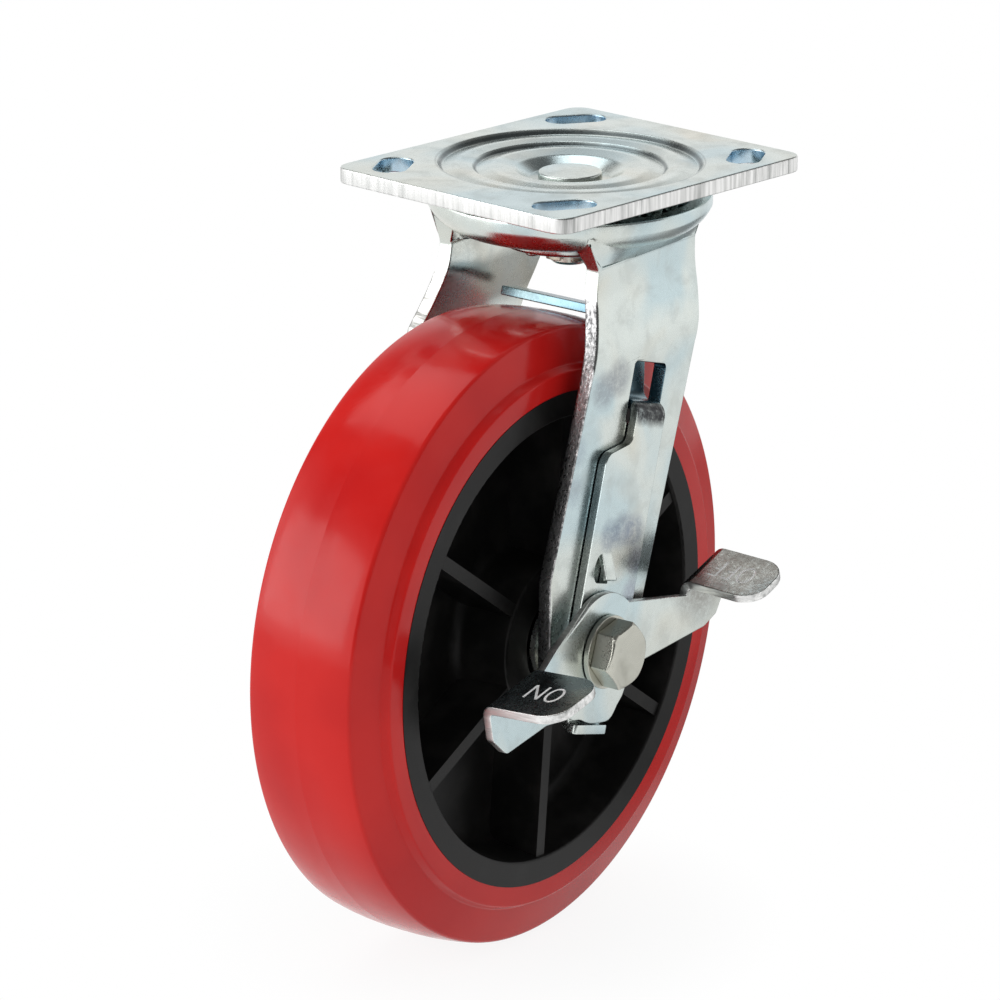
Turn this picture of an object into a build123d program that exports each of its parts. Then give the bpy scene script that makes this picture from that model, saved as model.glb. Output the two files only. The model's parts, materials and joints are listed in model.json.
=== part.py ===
"""Swivel castor with an 8 in wheel, a side pedal brake and a slotted top plate. Millimetres.

The origin is the centre of the plate's top face, on the swivel axis, with +Z up. The plate is
square to the axes. The fork, and all that it carries, is turned about Z by swivel_at_rest.
The brake is on the fork's near side, which is its own -Y side.
"""

import math
import os

from build123d import *

os.makedirs("parts", exist_ok=True)

# ---------------------------------------------------------------- driving dimensions

swivel_at_rest = 7.0  # degrees that the fork is turned from square
running_clearance = 0.05  # radial, between a shaft and its bore
cut_margin = 1.0  # how far a cut runs past what it cuts
race_clearance = 0.15  # between a ball and its race

# top plate
plate_length = 113.0
plate_width = 96.0
plate_thickness = 5.0
plate_corner = 6.0
slot_inset_x = 14.43  # from the plate's edge to the middle of a slot
slot_inset_y = 12.28
slot_width = 10.5
slot_centres = 9.26  # between the centres of a slot's two ends
slot_angle = 31.0

# rings pressed into the plate, each as its radius and depth
dish_edge_radius = 41.5
dish_radius = 38.0
dish_depth = 1.2
step_outer_radius = 29.0
step_inner_radius = 27.0
step_depth = 2.5
bowl_edge_radius = 17.0
bowl_radius = 12.5
bowl_depth = 6.0
press_fillet = 1.2
boss_wall = 2.0  # how much wider the pressing is below than above
boss_thinning = 0.5  # of the bowl's floor

# kingpin
kingpin_radius = 6.35
kingpin_head_radius = 10.0
kingpin_head_thickness = 2.7
kingpin_length = 26.2  # under the head
kingpin_nut_flats = 19.05  # across flats
kingpin_nut_height = 9.8
nut_slot_width = 3.2
nut_slot_depth = 3.8
nut_turn = 34.6  # degrees, the direction of one nut slot
split_pin_radius = 1.2
split_pin_length = 23.0
split_pin_eye = 1.6  # radius of the eye's middle line
split_pin_wire = 0.85
split_pin_leg = 4.2  # length of each opened end
split_pin_opening = 50.0  # degrees
nut_crown_step = 0.7
end_chamfer = 1.0
head_edge_fillet = 0.6

# ball races
upper_ball_radius = 3.97
upper_ball_pitch = 33.0
upper_ball_count = 24
lower_ball_radius = 3.175
lower_ball_pitch = 17.0
lower_ball_count = 15
race_depth = 0.8  # how deep a ball sits in the sheet

# lower race cup
cup_radius = 23.4
cup_foot_radius = 22.0
cup_height = 7.8
cup_centre_thickness = 2.6
cup_gap = 1.1  # under the fork's web
cup_fillet = 1.6

# fork
fork_sheet = 5.0
head_radius = 44.5
head_gap = 4.3  # between the plate and the fork's rim
head_wall = 3.4  # height of the rim's upright outer face
head_hole_radius = 12.5
web_flat_radius = 24.0
trough_radius = 27.5
web_drop = 2.0  # from the centre of the upper balls to the top of the web
trough_depth = 10.6  # from the centre of the upper balls to the underside
neck_outside = 30.4  # half-width over the legs at the neck
leg_outside = 36.0  # half-width over the legs beside the wheel
neck_top = -24.5
neck_bottom = -32.0
flare_bottom = -52.0
flare_bend = 30.0
skirt_half_width = 33.0
leg_lean = 19.5
leg_half_width = 26.6
leg_end_radius = 19.5
leg_taper_height = 17.5  # above the axle, where the leg starts to narrow
front_straight_top = -52.0
front_curve_x = -31.4
front_neck_x = -27.4
skirt_inset = 0.2  # of the legs' top edge inside the round head
back_straight_top = -56.0
back_curve_x = 23.9
back_neck_x = 25.5
neck_curve_middle = -40.5

# axle and wheel place, from the swivel axis and the plate's top
trail = 40.3
axle_drop = 141.0

# wheel
wheel_radius = 100.0
tread_crown = 1.9  # how much the tread falls to its edges
tread_half_width = 18.9
shoulder_drop = 13.5  # from the tread's middle
shoulder_half_width = 21.5
tyre_half_width = 24.4
tyre_lip_drop = 14.7
tyre_thickness = 21.1  # outside the core
core_key_height = 4.1
core_key_half_width = 11.0
core_key_slope = 1.5
core_half_width = 24.6
core_rim_thickness = 7.9
core_floor_step = 2.5
web_half_thickness = 5.0
hub_radius = 26.0
hub_half_width = 24.0
hub_draft = 1.0
rib_count = 6
rib_turn = 24.7
rib_thickness = 4.2
rib_half_width = 23.5
crown_share = 0.36
lip_fillet = 0.5
rim_edge_fillet = 0.8
web_fillet = 4.0

# wheel bearing
bearing_outside_radius = 15.1
bearing_shell = 1.4
bearing_half_length = 22.0
roller_radius = 2.0
roller_count = 12
roller_half_length = 19.0
cage_half_thickness = 0.7
cage_end = 2.0
bushing_radius = 9.5
hub_washer_radius = 14.0
hub_washer_thickness = 2.0
hub_collar_radius = 12.0
thrust_gap = 0.3

# axle bolt
axle_radius = 6.35
bolt_flats = 18.8  # across flats, the head's and the nut's
bolt_head_height = 7.2
hex_face_share = 0.95  # of the width across flats, the flat end inside the crown
hex_turn = 10.0
bolt_washer_radius = 11.6
bolt_washer_thickness = 1.8
axle_nut_height = 11.0
axle_end_beyond_nut = 3.0

# brake strap: across is over its centre line, up is along it from the axle
strap_thickness = 3.0
strap_lean = 16.5
strap_gap = 0.3  # between the strap and the leg
strap_front = -12.0
strap_back = 16.7
neck_front = 0.8
strap_shoulder = 60.0
strap_step = 5.0
shelf_under = 74.8  # where the strap passes in through the window
strap_bend = 2.5
strap_inside_low = 30.4  # half-width over the strap's inner run, at its foot and at the bar
strap_inside_high = 25.9
strap_corner = 2.5
strap_slot_gap = 0.15
bar_gap = 1.1  # over the middle of the tread
bar_slope = 0.02  # how much the bar rises for each mm to the far side
bar_reach = 18.9  # past the wheel's middle, at its front edge
bar_end_slant = 20.0  # degrees, the strip's end is cut level and not square
brake_travel = 0.9
window_clearance = 0.8
window_top = 89.5
window_bottom = 70.5
window_corner = 1.5
tab_top = -23.4
tab_front = -8.0
tab_back = 9.7
tab_reach = 3.2  # out past the strap
tab_bend = 0.8
tab_neck = 6.0  # height of the tab's own width above its bend
tongue_front = -5.5
tongue_width = 5.6
tongue_top = 29.6
tongue_length = 7.4
tongue_lift = 3.5
tongue_thickness = 2.2
tongue_gap = 0.2  # beside the tongue
mouth_length = 9.2
mouth_width = 2.8  # how far the mouth opens past the tongue

# brake pedal
pedal_thickness = 3.0
pedal_gap = 0.3  # between the pedal and the strap
pedal_bush_radius = 8.5
pedal_hub_radius = 18.3
# the cam under the hub, as radius and angle, from its back end to its lobe
cam_points = ((19.0, -45.0), (21.0, -65.0), (23.9, -83.0), (23.0, -100.0), (22.7, -122.0), (24.7, -136.0))
on_arm_root = 125.0
on_arm_dip = (-25.0, 7.2)  # from the axle, as are all the points of the arms
on_arm_heel = (-57.8, -12.3)
on_arm_toe = (-51.0, -18.5)
on_arm_under = (-30.3, -15.6)
off_arm_root = 42.0
off_arm_heel = (65.7, -1.0)
off_arm_toe = (62.8, -5.4)
off_arm_bottom = -8.0
off_arm_under = (56.0, 15.0)  # where the arm's straight lower edge ends and starts
on_foot_start = (-35.2, 4.1)
on_foot_end = (-60.2, -0.5)
on_foot_rise = 1.8  # at a foot plate's outer edge
off_foot_start = (65.7, 16.0)
off_foot_end = (45.8, 10.0)
off_foot_rise = -1.4
foot_root = 6.0  # how far below its top face a foot plate is let into its arm
foot_width = 24.8  # how far a foot plate stands out from the pedal's face
foot_corner = 8.0
foot_bend = 2.0
on_word_place = 0.48  # of a foot plate's width
off_word_place = 0.42
letter_height = 8.0
letter_widths = {"O": 4.6, "N": 4.6, "F": 2.8}
letter_gap = 2.0
letter_stroke = 1.0
letter_depth = 0.4
letter_bar = 0.52  # height of the middle stroke of an F, as a share
letter_bar_length = 0.8

# ---------------------------------------------------------------- sizes that follow

bolt_spacing_x = plate_length - 2 * slot_inset_x
bolt_spacing_y = plate_width - 2 * slot_inset_y
plate_underside = -plate_thickness
race_underside = -plate_thickness - dish_depth
upper_ball_z = race_underside - upper_ball_radius + race_depth / 2
web_top = upper_ball_z - web_drop
web_bottom = web_top - fork_sheet
trough_bottom = upper_ball_z - trough_depth
head_top = plate_underside - head_gap
head_wall_bottom = head_top - head_wall
lower_ball_z = web_bottom - lower_ball_radius + race_depth
cup_top = web_bottom - cup_gap
cup_bottom = cup_top - cup_height
cup_centre_bottom = cup_top - cup_centre_thickness
kingpin_head_top = -bowl_depth + kingpin_head_thickness
kingpin_end = -bowl_depth - kingpin_length
kingpin_nut_bottom = cup_centre_bottom - kingpin_nut_height
kingpin_nut_corner = kingpin_nut_flats / math.sqrt(3)
bowl_underside = -bowl_depth - plate_thickness + boss_thinning
leg_inside = leg_outside - fork_sheet
neck_inside = neck_outside - fork_sheet
strap_near = leg_outside + strap_gap
strap_far = strap_near + strap_thickness
pedal_near = strap_far + pedal_gap
pedal_far = pedal_near + pedal_thickness
washer_near = pedal_far + pedal_gap
washer_far = washer_near + bolt_washer_thickness
tread_edge_radius = wheel_radius - tread_crown
shoulder_radius = wheel_radius - shoulder_drop
tyre_lip_radius = wheel_radius - tyre_lip_drop
core_radius = wheel_radius - tyre_thickness
core_key_radius = core_radius + core_key_height
core_rim_radius = core_radius - core_rim_thickness
core_floor_radius = core_rim_radius - core_floor_step
bar_under = wheel_radius + bar_gap
bar_top = bar_under + strap_thickness
bar_end = bar_reach + (strap_back - neck_front) * math.tan(math.radians(bar_end_slant))
bar_limit = bar_top + cut_margin
roller_pitch = bushing_radius + running_clearance + roller_radius
window_front = neck_front - window_clearance
window_back = strap_back + window_clearance

# ---------------------------------------------------------------- frames

fork_frame = Plane.XY.rotated((0, 0, swivel_at_rest))


def side_plane(y):
    """An upright plane along the fork, seen from the brake side."""
    return Plane(fork_frame.from_local_coords((0, y, 0)), x_dir=fork_frame.x_dir, z_dir=-fork_frame.y_dir)


def front_plane(x, z=0.0):
    """An upright plane across the fork, whose local x is the fork's y, with its origin at height z."""
    origin = fork_frame.from_local_coords((x, 0, z))
    return Plane(origin, x_dir=fork_frame.y_dir, z_dir=fork_frame.x_dir)


def axle_plane(y, lean=0.0):
    """The side plane at y with its origin on the axle, leaning back by lean degrees."""
    origin = fork_frame.from_local_coords((-trail, y, -axle_drop))
    along = fork_frame.x_dir * math.cos(math.radians(lean)) - fork_frame.z_dir * math.sin(math.radians(lean))
    return Plane(origin, x_dir=along, z_dir=-fork_frame.y_dir)


def strap_section_plane(across):
    """The plane through the strap's length whose local x is the fork's y and local y is up the strap."""
    leaning = axle_plane(0, strap_lean)
    origin = leaning.from_local_coords((across, 0, 0))
    return Plane(origin, x_dir=fork_frame.y_dir, z_dir=leaning.x_dir)


wheel_section = front_plane(-trail, -axle_drop)
axle_line = Axis(wheel_section.origin, fork_frame.y_dir)


def lean_point(across, up):
    """A point of the side plane from the leg's own centre line through the axle."""
    lean = math.radians(leg_lean)
    x = -trail + across * math.cos(lean) + up * math.sin(lean)
    z = -axle_drop - across * math.sin(lean) + up * math.cos(lean)
    return (x, z)


def lean_x(across, z):
    """Where the leg's straight edge at a distance across reaches the height z."""
    lean = math.radians(leg_lean)
    up = (z + axle_drop + across * math.sin(lean)) / math.cos(lean)
    return lean_point(across, up)[0]


def polar(radius, degrees):
    """A point at a radius and an angle."""
    return (radius * math.cos(math.radians(degrees)), radius * math.sin(math.radians(degrees)))


# ---------------------------------------------------------------- shared shapes


def ring(plane, outer, inner, length):
    """A plain ring that starts on the plane and grows along its normal."""
    with BuildPart() as piece:
        with BuildSketch(plane):
            Circle(outer)
            Circle(inner, mode=Mode.SUBTRACT)
        extrude(amount=length)
    return piece.part


def hex_block(plane, across_flats, length, crowned):
    """A hexagon grown from the plane. A crowned one has its far corners turned off to a cone."""
    corner = across_flats / math.sqrt(3)
    face = across_flats / 2 * hex_face_share
    crown = (corner - face) * math.tan(math.radians(30)) if crowned else 0
    with BuildPart() as piece:
        with BuildSketch(plane):
            RegularPolygon(across_flats / 2, 6, major_radius=False, rotation=hex_turn)
        extrude(amount=length)
        with BuildSketch(Plane(plane.origin, x_dir=plane.x_dir, z_dir=-plane.y_dir)):
            with BuildLine():
                Polyline((0, 0), (corner, 0), (corner, length - crown), (face, length), (0, length), close=True)
            make_face()
        revolve(axis=Axis(plane.origin, plane.z_dir), mode=Mode.INTERSECT)
    return piece.part


def ball_set(count, pitch, z, radius):
    """A ring of loose balls."""
    with BuildPart() as piece:
        with Locations((0, 0, z)):
            with PolarLocations(pitch, count):
                Sphere(radius)
    return piece.part


# ---------------------------------------------------------------- top plate

with BuildPart() as top_plate:
    with BuildSketch():
        RectangleRounded(plate_length, plate_width, plate_corner)
    extrude(amount=-plate_thickness)
    # the pressing stands proud below by as much as it is sunk above
    with BuildSketch(Plane.XZ):
        with BuildLine():
            Polyline(
                (0, plate_underside),
                (dish_edge_radius, plate_underside),
                (dish_radius, plate_underside - dish_depth),
                (step_outer_radius, plate_underside - dish_depth),
                (step_inner_radius, plate_underside - step_depth),
                (bowl_edge_radius + boss_wall, plate_underside - step_depth),
                (bowl_radius + boss_wall, bowl_underside),
                (0, bowl_underside),
                close=True,
            )
        make_face()
    revolve(axis=Axis.Z)
    with BuildSketch(Plane.XZ):
        with BuildLine():
            pressing = FilletPolyline(
                (dish_edge_radius + cut_margin, 0),
                (dish_edge_radius, 0),
                (dish_radius, -dish_depth),
                (step_outer_radius, -dish_depth),
                (step_inner_radius, -step_depth),
                (bowl_edge_radius, -step_depth),
                (bowl_radius, -bowl_depth),
                (0, -bowl_depth),
                radius=(press_fillet * 2, press_fillet * 2, press_fillet, press_fillet, press_fillet, 0),
            )
            Polyline(pressing @ 1, (0, plate_thickness), (dish_edge_radius + cut_margin, plate_thickness), pressing @ 0)
        make_face()
    revolve(axis=Axis.Z, mode=Mode.SUBTRACT)
    with Locations((0, 0, upper_ball_z)):
        Torus(upper_ball_pitch, upper_ball_radius + race_clearance, mode=Mode.SUBTRACT)
    with BuildSketch():
        Circle(kingpin_radius)
        for side_x in (-1, 1):
            for side_y in (-1, 1):
                with Locations((side_x * bolt_spacing_x / 2, side_y * bolt_spacing_y / 2)):
                    SlotCenterToCenter(slot_centres, slot_width, rotation=-slot_angle * side_x * side_y)
    extrude(amount=-2 * plate_thickness - bowl_depth, mode=Mode.SUBTRACT)

# ---------------------------------------------------------------- kingpin, nut and split pin

pin_direction = nut_turn - 60  # degrees, the nut slots next to the ones in front
pin_z = kingpin_nut_bottom + nut_slot_depth / 2
pin_plane = Plane(
    (0, 0, pin_z),
    x_dir=(0, 0, 1),
    z_dir=(*polar(1, pin_direction), 0),
)

with BuildPart() as kingpin:
    with BuildSketch(Plane.XZ):
        with BuildLine():
            Polyline(
                (0, kingpin_head_top),
                (kingpin_head_radius, kingpin_head_top),
                (kingpin_head_radius, -bowl_depth),
                (kingpin_radius, -bowl_depth),
                (kingpin_radius, kingpin_end + end_chamfer),
                (kingpin_radius - end_chamfer, kingpin_end),
                (0, kingpin_end),
                close=True,
            )
        make_face()
    revolve(axis=Axis.Z)
    with BuildSketch(pin_plane):
        Circle(split_pin_radius + running_clearance)
    extrude(amount=kingpin_radius * 2, both=True, mode=Mode.SUBTRACT)
    fillet(kingpin.edges().filter_by(GeomType.CIRCLE).sort_by(Axis.Z)[-1], head_edge_fillet)

with BuildPart() as kingpin_nut:
    with BuildSketch(Plane.XY.offset(cup_centre_bottom)):
        RegularPolygon(kingpin_nut_flats / 2, 6, major_radius=False, rotation=nut_turn - 30)
        Circle(kingpin_radius + running_clearance, mode=Mode.SUBTRACT)
    extrude(amount=-kingpin_nut_height)
    # the slotted end is turned round
    with BuildSketch(Plane.XY.offset(kingpin_nut_bottom)):
        RegularPolygon(kingpin_nut_flats / 2 + cut_margin, 6, major_radius=False, rotation=nut_turn - 30)
        Circle(kingpin_nut_flats / 2 - nut_crown_step, mode=Mode.SUBTRACT)
    extrude(amount=nut_slot_depth, mode=Mode.SUBTRACT)
    with BuildSketch(Plane.XY.offset(kingpin_nut_bottom)):
        with PolarLocations(0, 3, start_angle=nut_turn):
            Rectangle(kingpin_nut_flats * 2, nut_slot_width)
    extrude(amount=nut_slot_depth, mode=Mode.SUBTRACT)

with BuildPart() as split_pin:
    with BuildSketch(pin_plane.offset(-split_pin_length / 2)):
        Circle(split_pin_radius)
    extrude(amount=split_pin_length)
    # the eye at one end
    with Locations(pin_plane.offset(-split_pin_length / 2 - split_pin_eye + split_pin_wire) * Rotation(0, 90, 0)):
        Torus(split_pin_eye, split_pin_wire)
    # the two ends are opened out to lock it
    for way in (-1, 1):
        with BuildSketch(pin_plane.offset(split_pin_length / 2 - split_pin_radius).rotated((0, way * split_pin_opening, 0))):
            Circle(split_pin_wire)
        extrude(amount=split_pin_leg)

# ---------------------------------------------------------------- ball races

upper_balls = ball_set(upper_ball_count, upper_ball_pitch, upper_ball_z, upper_ball_radius)
lower_balls = ball_set(lower_ball_count, lower_ball_pitch, lower_ball_z, lower_ball_radius)

with BuildPart() as lower_race_cup:
    with BuildSketch(Plane.XZ):
        with BuildLine():
            wall = FilletPolyline(
                (cup_radius, cup_top),
                (cup_foot_radius, cup_bottom),
                (lower_ball_pitch - lower_ball_radius, cup_bottom),
                (kingpin_nut_corner + cut_margin, cup_centre_bottom),
                (kingpin_radius + running_clearance, cup_centre_bottom),
                radius=(cup_fillet, cup_fillet / 2, cup_fillet / 2),
            )
            Polyline(wall @ 1, (kingpin_radius + running_clearance, cup_top), wall @ 0)
        make_face()
    revolve(axis=Axis.Z)
    with Locations((0, 0, lower_ball_z)):
        Torus(lower_ball_pitch, lower_ball_radius + race_clearance, mode=Mode.SUBTRACT)

# ---------------------------------------------------------------- fork

# the two legs: the sheet's bent run seen from the front, cut to the outline seen from the side
taper_reach = math.hypot(leg_half_width, leg_taper_height)
taper_angle = math.degrees(math.atan2(leg_taper_height, leg_half_width) - math.acos(leg_end_radius / taper_reach))

with BuildPart() as legs:
    with BuildSketch(front_plane(-wheel_radius)):
        with BuildLine():
            outside = FilletPolyline(
                (-neck_outside, neck_top),
                (-neck_outside, neck_bottom),
                (-leg_outside, flare_bottom),
                (-leg_outside, -axle_drop - 2 * leg_end_radius),
                radius=flare_bend,
            )
            inside = FilletPolyline(
                (-neck_inside, neck_top),
                (-neck_inside, neck_bottom),
                (-leg_inside, flare_bottom),
                (-leg_inside, -axle_drop - 2 * leg_end_radius),
                radius=flare_bend,
            )
            Line(outside @ 0, inside @ 0)
            Line(outside @ 1, inside @ 1)
        make_face()
        mirror(about=Plane.YZ)
    extrude(amount=2 * wheel_radius)
    with BuildSketch(side_plane(leg_outside * 2)):
        with BuildLine():
            right = polar(leg_end_radius, taper_angle)
            front_low = lean_point(-leg_half_width, leg_taper_height)
            back_low = lean_point(leg_half_width, leg_taper_height)
            front_high = (lean_x(-leg_half_width, front_straight_top), front_straight_top)
            back_high = (lean_x(leg_half_width, back_straight_top), back_straight_top)
            ThreePointArc(
                lean_point(-right[0], right[1]),
                lean_point(0, -leg_end_radius),
                lean_point(*right),
            )
            Polyline(lean_point(*right), back_low, back_high)
            ThreePointArc(back_high, (back_curve_x, neck_curve_middle), (back_neck_x, neck_top))
            Line((back_neck_x, neck_top), (front_neck_x, neck_top))
            ThreePointArc((front_neck_x, neck_top), (front_curve_x, neck_curve_middle), front_high)
            Polyline(front_high, front_low, lean_point(-right[0], right[1]))
        make_face()
    extrude(amount=leg_outside * 4, mode=Mode.INTERSECT)


def skirt(way):
    """The sheet between the round head and the flat top of one leg."""
    with BuildPart() as piece:
        with BuildSketch(fork_frame.offset(head_wall_bottom + cut_margin)):
            Circle(head_radius - skirt_inset)
            Circle(head_radius - fork_sheet - cut_margin, mode=Mode.SUBTRACT)
            with Locations((0, way * head_radius / 2)):
                Rectangle(2 * skirt_half_width, head_radius, mode=Mode.INTERSECT)
        with BuildSketch(fork_frame.offset(neck_top)):
            with Locations(((front_neck_x + back_neck_x) / 2, way * (neck_outside + neck_inside) / 2)):
                Rectangle(back_neck_x - front_neck_x, fork_sheet)
        loft(ruled=True)
    return piece.part


with BuildPart() as fork:
    with BuildSketch(Plane.XZ):
        with BuildLine():
            rim = Polyline(
                (head_radius, head_wall_bottom),
                (head_radius, head_top),
                (head_radius - fork_sheet, head_top),
                (upper_ball_pitch + upper_ball_radius + race_clearance + cut_margin, web_top),
                (head_hole_radius, web_top),
                (head_hole_radius, web_bottom),
                (web_flat_radius, web_bottom),
                (trough_radius, trough_bottom),
                (upper_ball_pitch, trough_bottom),
            )
            TangentArc(rim @ 1, rim @ 0, tangent=(1, 0))
        make_face()
    revolve(axis=Axis.Z)
    add(legs.part)
    add(skirt(-1))
    add(skirt(1))
    with Locations((0, 0, upper_ball_z)):
        Torus(upper_ball_pitch, upper_ball_radius + race_clearance, mode=Mode.SUBTRACT)
    with Locations((0, 0, lower_ball_z)):
        Torus(lower_ball_pitch, lower_ball_radius + race_clearance, mode=Mode.SUBTRACT)
    with BuildSketch(axle_plane(0)):
        Circle(axle_radius + running_clearance)
    extrude(amount=leg_outside * 2, both=True, mode=Mode.SUBTRACT)
    # the window that the brake strap passes through
    with BuildSketch(axle_plane(0, strap_lean)):
        with Locations(((window_front + window_back) / 2, (window_top + window_bottom) / 2)):
            RectangleRounded(window_back - window_front, window_top - window_bottom, window_corner)
    extrude(amount=leg_outside * 2, mode=Mode.SUBTRACT)

# ---------------------------------------------------------------- wheel

with BuildPart() as tyre:
    with BuildSketch(wheel_section):
        with BuildLine():
            ThreePointArc(
                (0, wheel_radius),
                (tread_half_width / 2, wheel_radius - tread_crown * crown_share),
                (tread_half_width, tread_edge_radius),
            )
            FilletPolyline(
                (tread_half_width, tread_edge_radius),
                (shoulder_half_width, shoulder_radius),
                (tyre_half_width, tyre_lip_radius),
                (tyre_half_width, core_radius),
                (core_key_half_width + core_key_slope, core_radius),
                (core_key_half_width, core_key_radius),
                (0, core_key_radius),
                radius=(lip_fillet, lip_fillet, 0, 0, 0),
            )
            Line((0, core_key_radius), (0, wheel_radius))
        make_face()
        mirror(about=Plane.YZ)
    revolve(axis=axle_line)

with BuildPart() as wheel_core:
    with BuildSketch(wheel_section):
        with BuildLine():
            FilletPolyline(
                (0, core_key_radius),
                (core_key_half_width, core_key_radius),
                (core_key_half_width + core_key_slope, core_radius),
                (core_half_width, core_radius),
                (core_half_width, core_rim_radius),
                (web_half_thickness, core_floor_radius),
                (web_half_thickness, hub_radius + hub_draft),
                (hub_half_width, hub_radius),
                (hub_half_width, bearing_outside_radius),
                (0, bearing_outside_radius),
                radius=(0, 0, 0, rim_edge_fillet, web_fillet, web_fillet, rim_edge_fillet, 0),
            )
            Line((0, bearing_outside_radius), (0, core_key_radius))
        make_face()
        mirror(about=Plane.YZ)
    revolve(axis=axle_line)
    with BuildSketch(axle_plane(0)):
        with PolarLocations((hub_radius + core_rim_radius) / 2, rib_count, start_angle=rib_turn):
            Rectangle(core_rim_radius - hub_radius + 2 * cut_margin, rib_thickness)
    extrude(amount=rib_half_width, both=True)

bearing_sleeve = ring(
    axle_plane(bearing_half_length),
    bearing_outside_radius,
    bearing_outside_radius - bearing_shell,
    2 * bearing_half_length,
)

with BuildPart() as bearing_rollers:
    with BuildSketch(axle_plane(roller_half_length)):
        with PolarLocations(roller_pitch, roller_count):
            Circle(roller_radius)
    extrude(amount=2 * roller_half_length)

with BuildPart() as roller_cage:
    with BuildSketch(axle_plane(roller_half_length + cage_end)):
        Circle(roller_pitch + cage_half_thickness)
        Circle(roller_pitch - cage_half_thickness, mode=Mode.SUBTRACT)
    extrude(amount=2 * (roller_half_length + cage_end))
    with BuildSketch(axle_plane(roller_half_length + running_clearance)):
        with PolarLocations(roller_pitch, roller_count):
            Circle(roller_radius + running_clearance)
    extrude(amount=2 * (roller_half_length + running_clearance), mode=Mode.SUBTRACT)

spanner_bushing = ring(axle_plane(leg_inside), bushing_radius, axle_radius + running_clearance, 2 * leg_inside)

with BuildPart() as hub_washers:
    with BuildSketch(wheel_section):
        with BuildLine():
            Polyline(
                (hub_half_width + thrust_gap, bushing_radius + running_clearance),
                (hub_half_width + thrust_gap, hub_washer_radius),
                (hub_half_width + thrust_gap + hub_washer_thickness, hub_washer_radius),
                (hub_half_width + thrust_gap + hub_washer_thickness, hub_collar_radius),
                (leg_inside, hub_collar_radius),
                (leg_inside, bushing_radius + running_clearance),
                close=True,
            )
        make_face()
        mirror(about=Plane.YZ)
    revolve(axis=axle_line)

# ---------------------------------------------------------------- axle bolt, nut and washers

nut_face = leg_outside + bolt_washer_thickness
axle_end = nut_face + axle_nut_height + axle_end_beyond_nut
far_plane = Plane(axle_plane(nut_face).origin, x_dir=-fork_frame.x_dir, z_dir=fork_frame.y_dir)

with BuildPart() as axle_bolt:
    with BuildSketch(axle_plane(axle_end)):
        Circle(axle_radius)
    extrude(amount=axle_end + washer_far)
    chamfer(axle_bolt.edges().sort_by(Axis((0, 0, 0), fork_frame.y_dir))[-1], end_chamfer)
    add(hex_block(axle_plane(-washer_far), bolt_flats, bolt_head_height, True))

with BuildPart() as axle_nut:
    add(hex_block(far_plane, bolt_flats, axle_nut_height, True))
    with BuildSketch(far_plane):
        Circle(axle_radius + running_clearance)
    extrude(amount=axle_nut_height, mode=Mode.SUBTRACT)

washer_bore = axle_radius + running_clearance
bolt_washer = ring(axle_plane(-washer_near), bolt_washer_radius, washer_bore, bolt_washer_thickness)
nut_washer = ring(axle_plane(nut_face), bolt_washer_radius, washer_bore, bolt_washer_thickness)

# the sleeve that the pedal turns on, clamped between the leg and the bolt's washer
pedal_bush = ring(axle_plane(-leg_outside), pedal_bush_radius, washer_bore, washer_near - leg_outside)

# ---------------------------------------------------------------- brake strap

tab_bottom = tab_top - strap_thickness
tab_bend_outside = tab_bend + strap_thickness
shelf_top = shelf_under + strap_thickness
tab_end = strap_far + tab_reach
outer_bend = strap_bend + strap_thickness
inner_run_low = -strap_inside_low + strap_thickness
inner_run_high = -strap_inside_high + strap_thickness

leaning = axle_plane(0, strap_lean)
bar_plane = Plane(leaning.from_local_coords((0, bar_top, 0)), x_dir=leaning.x_dir, z_dir=leaning.y_dir)

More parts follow.
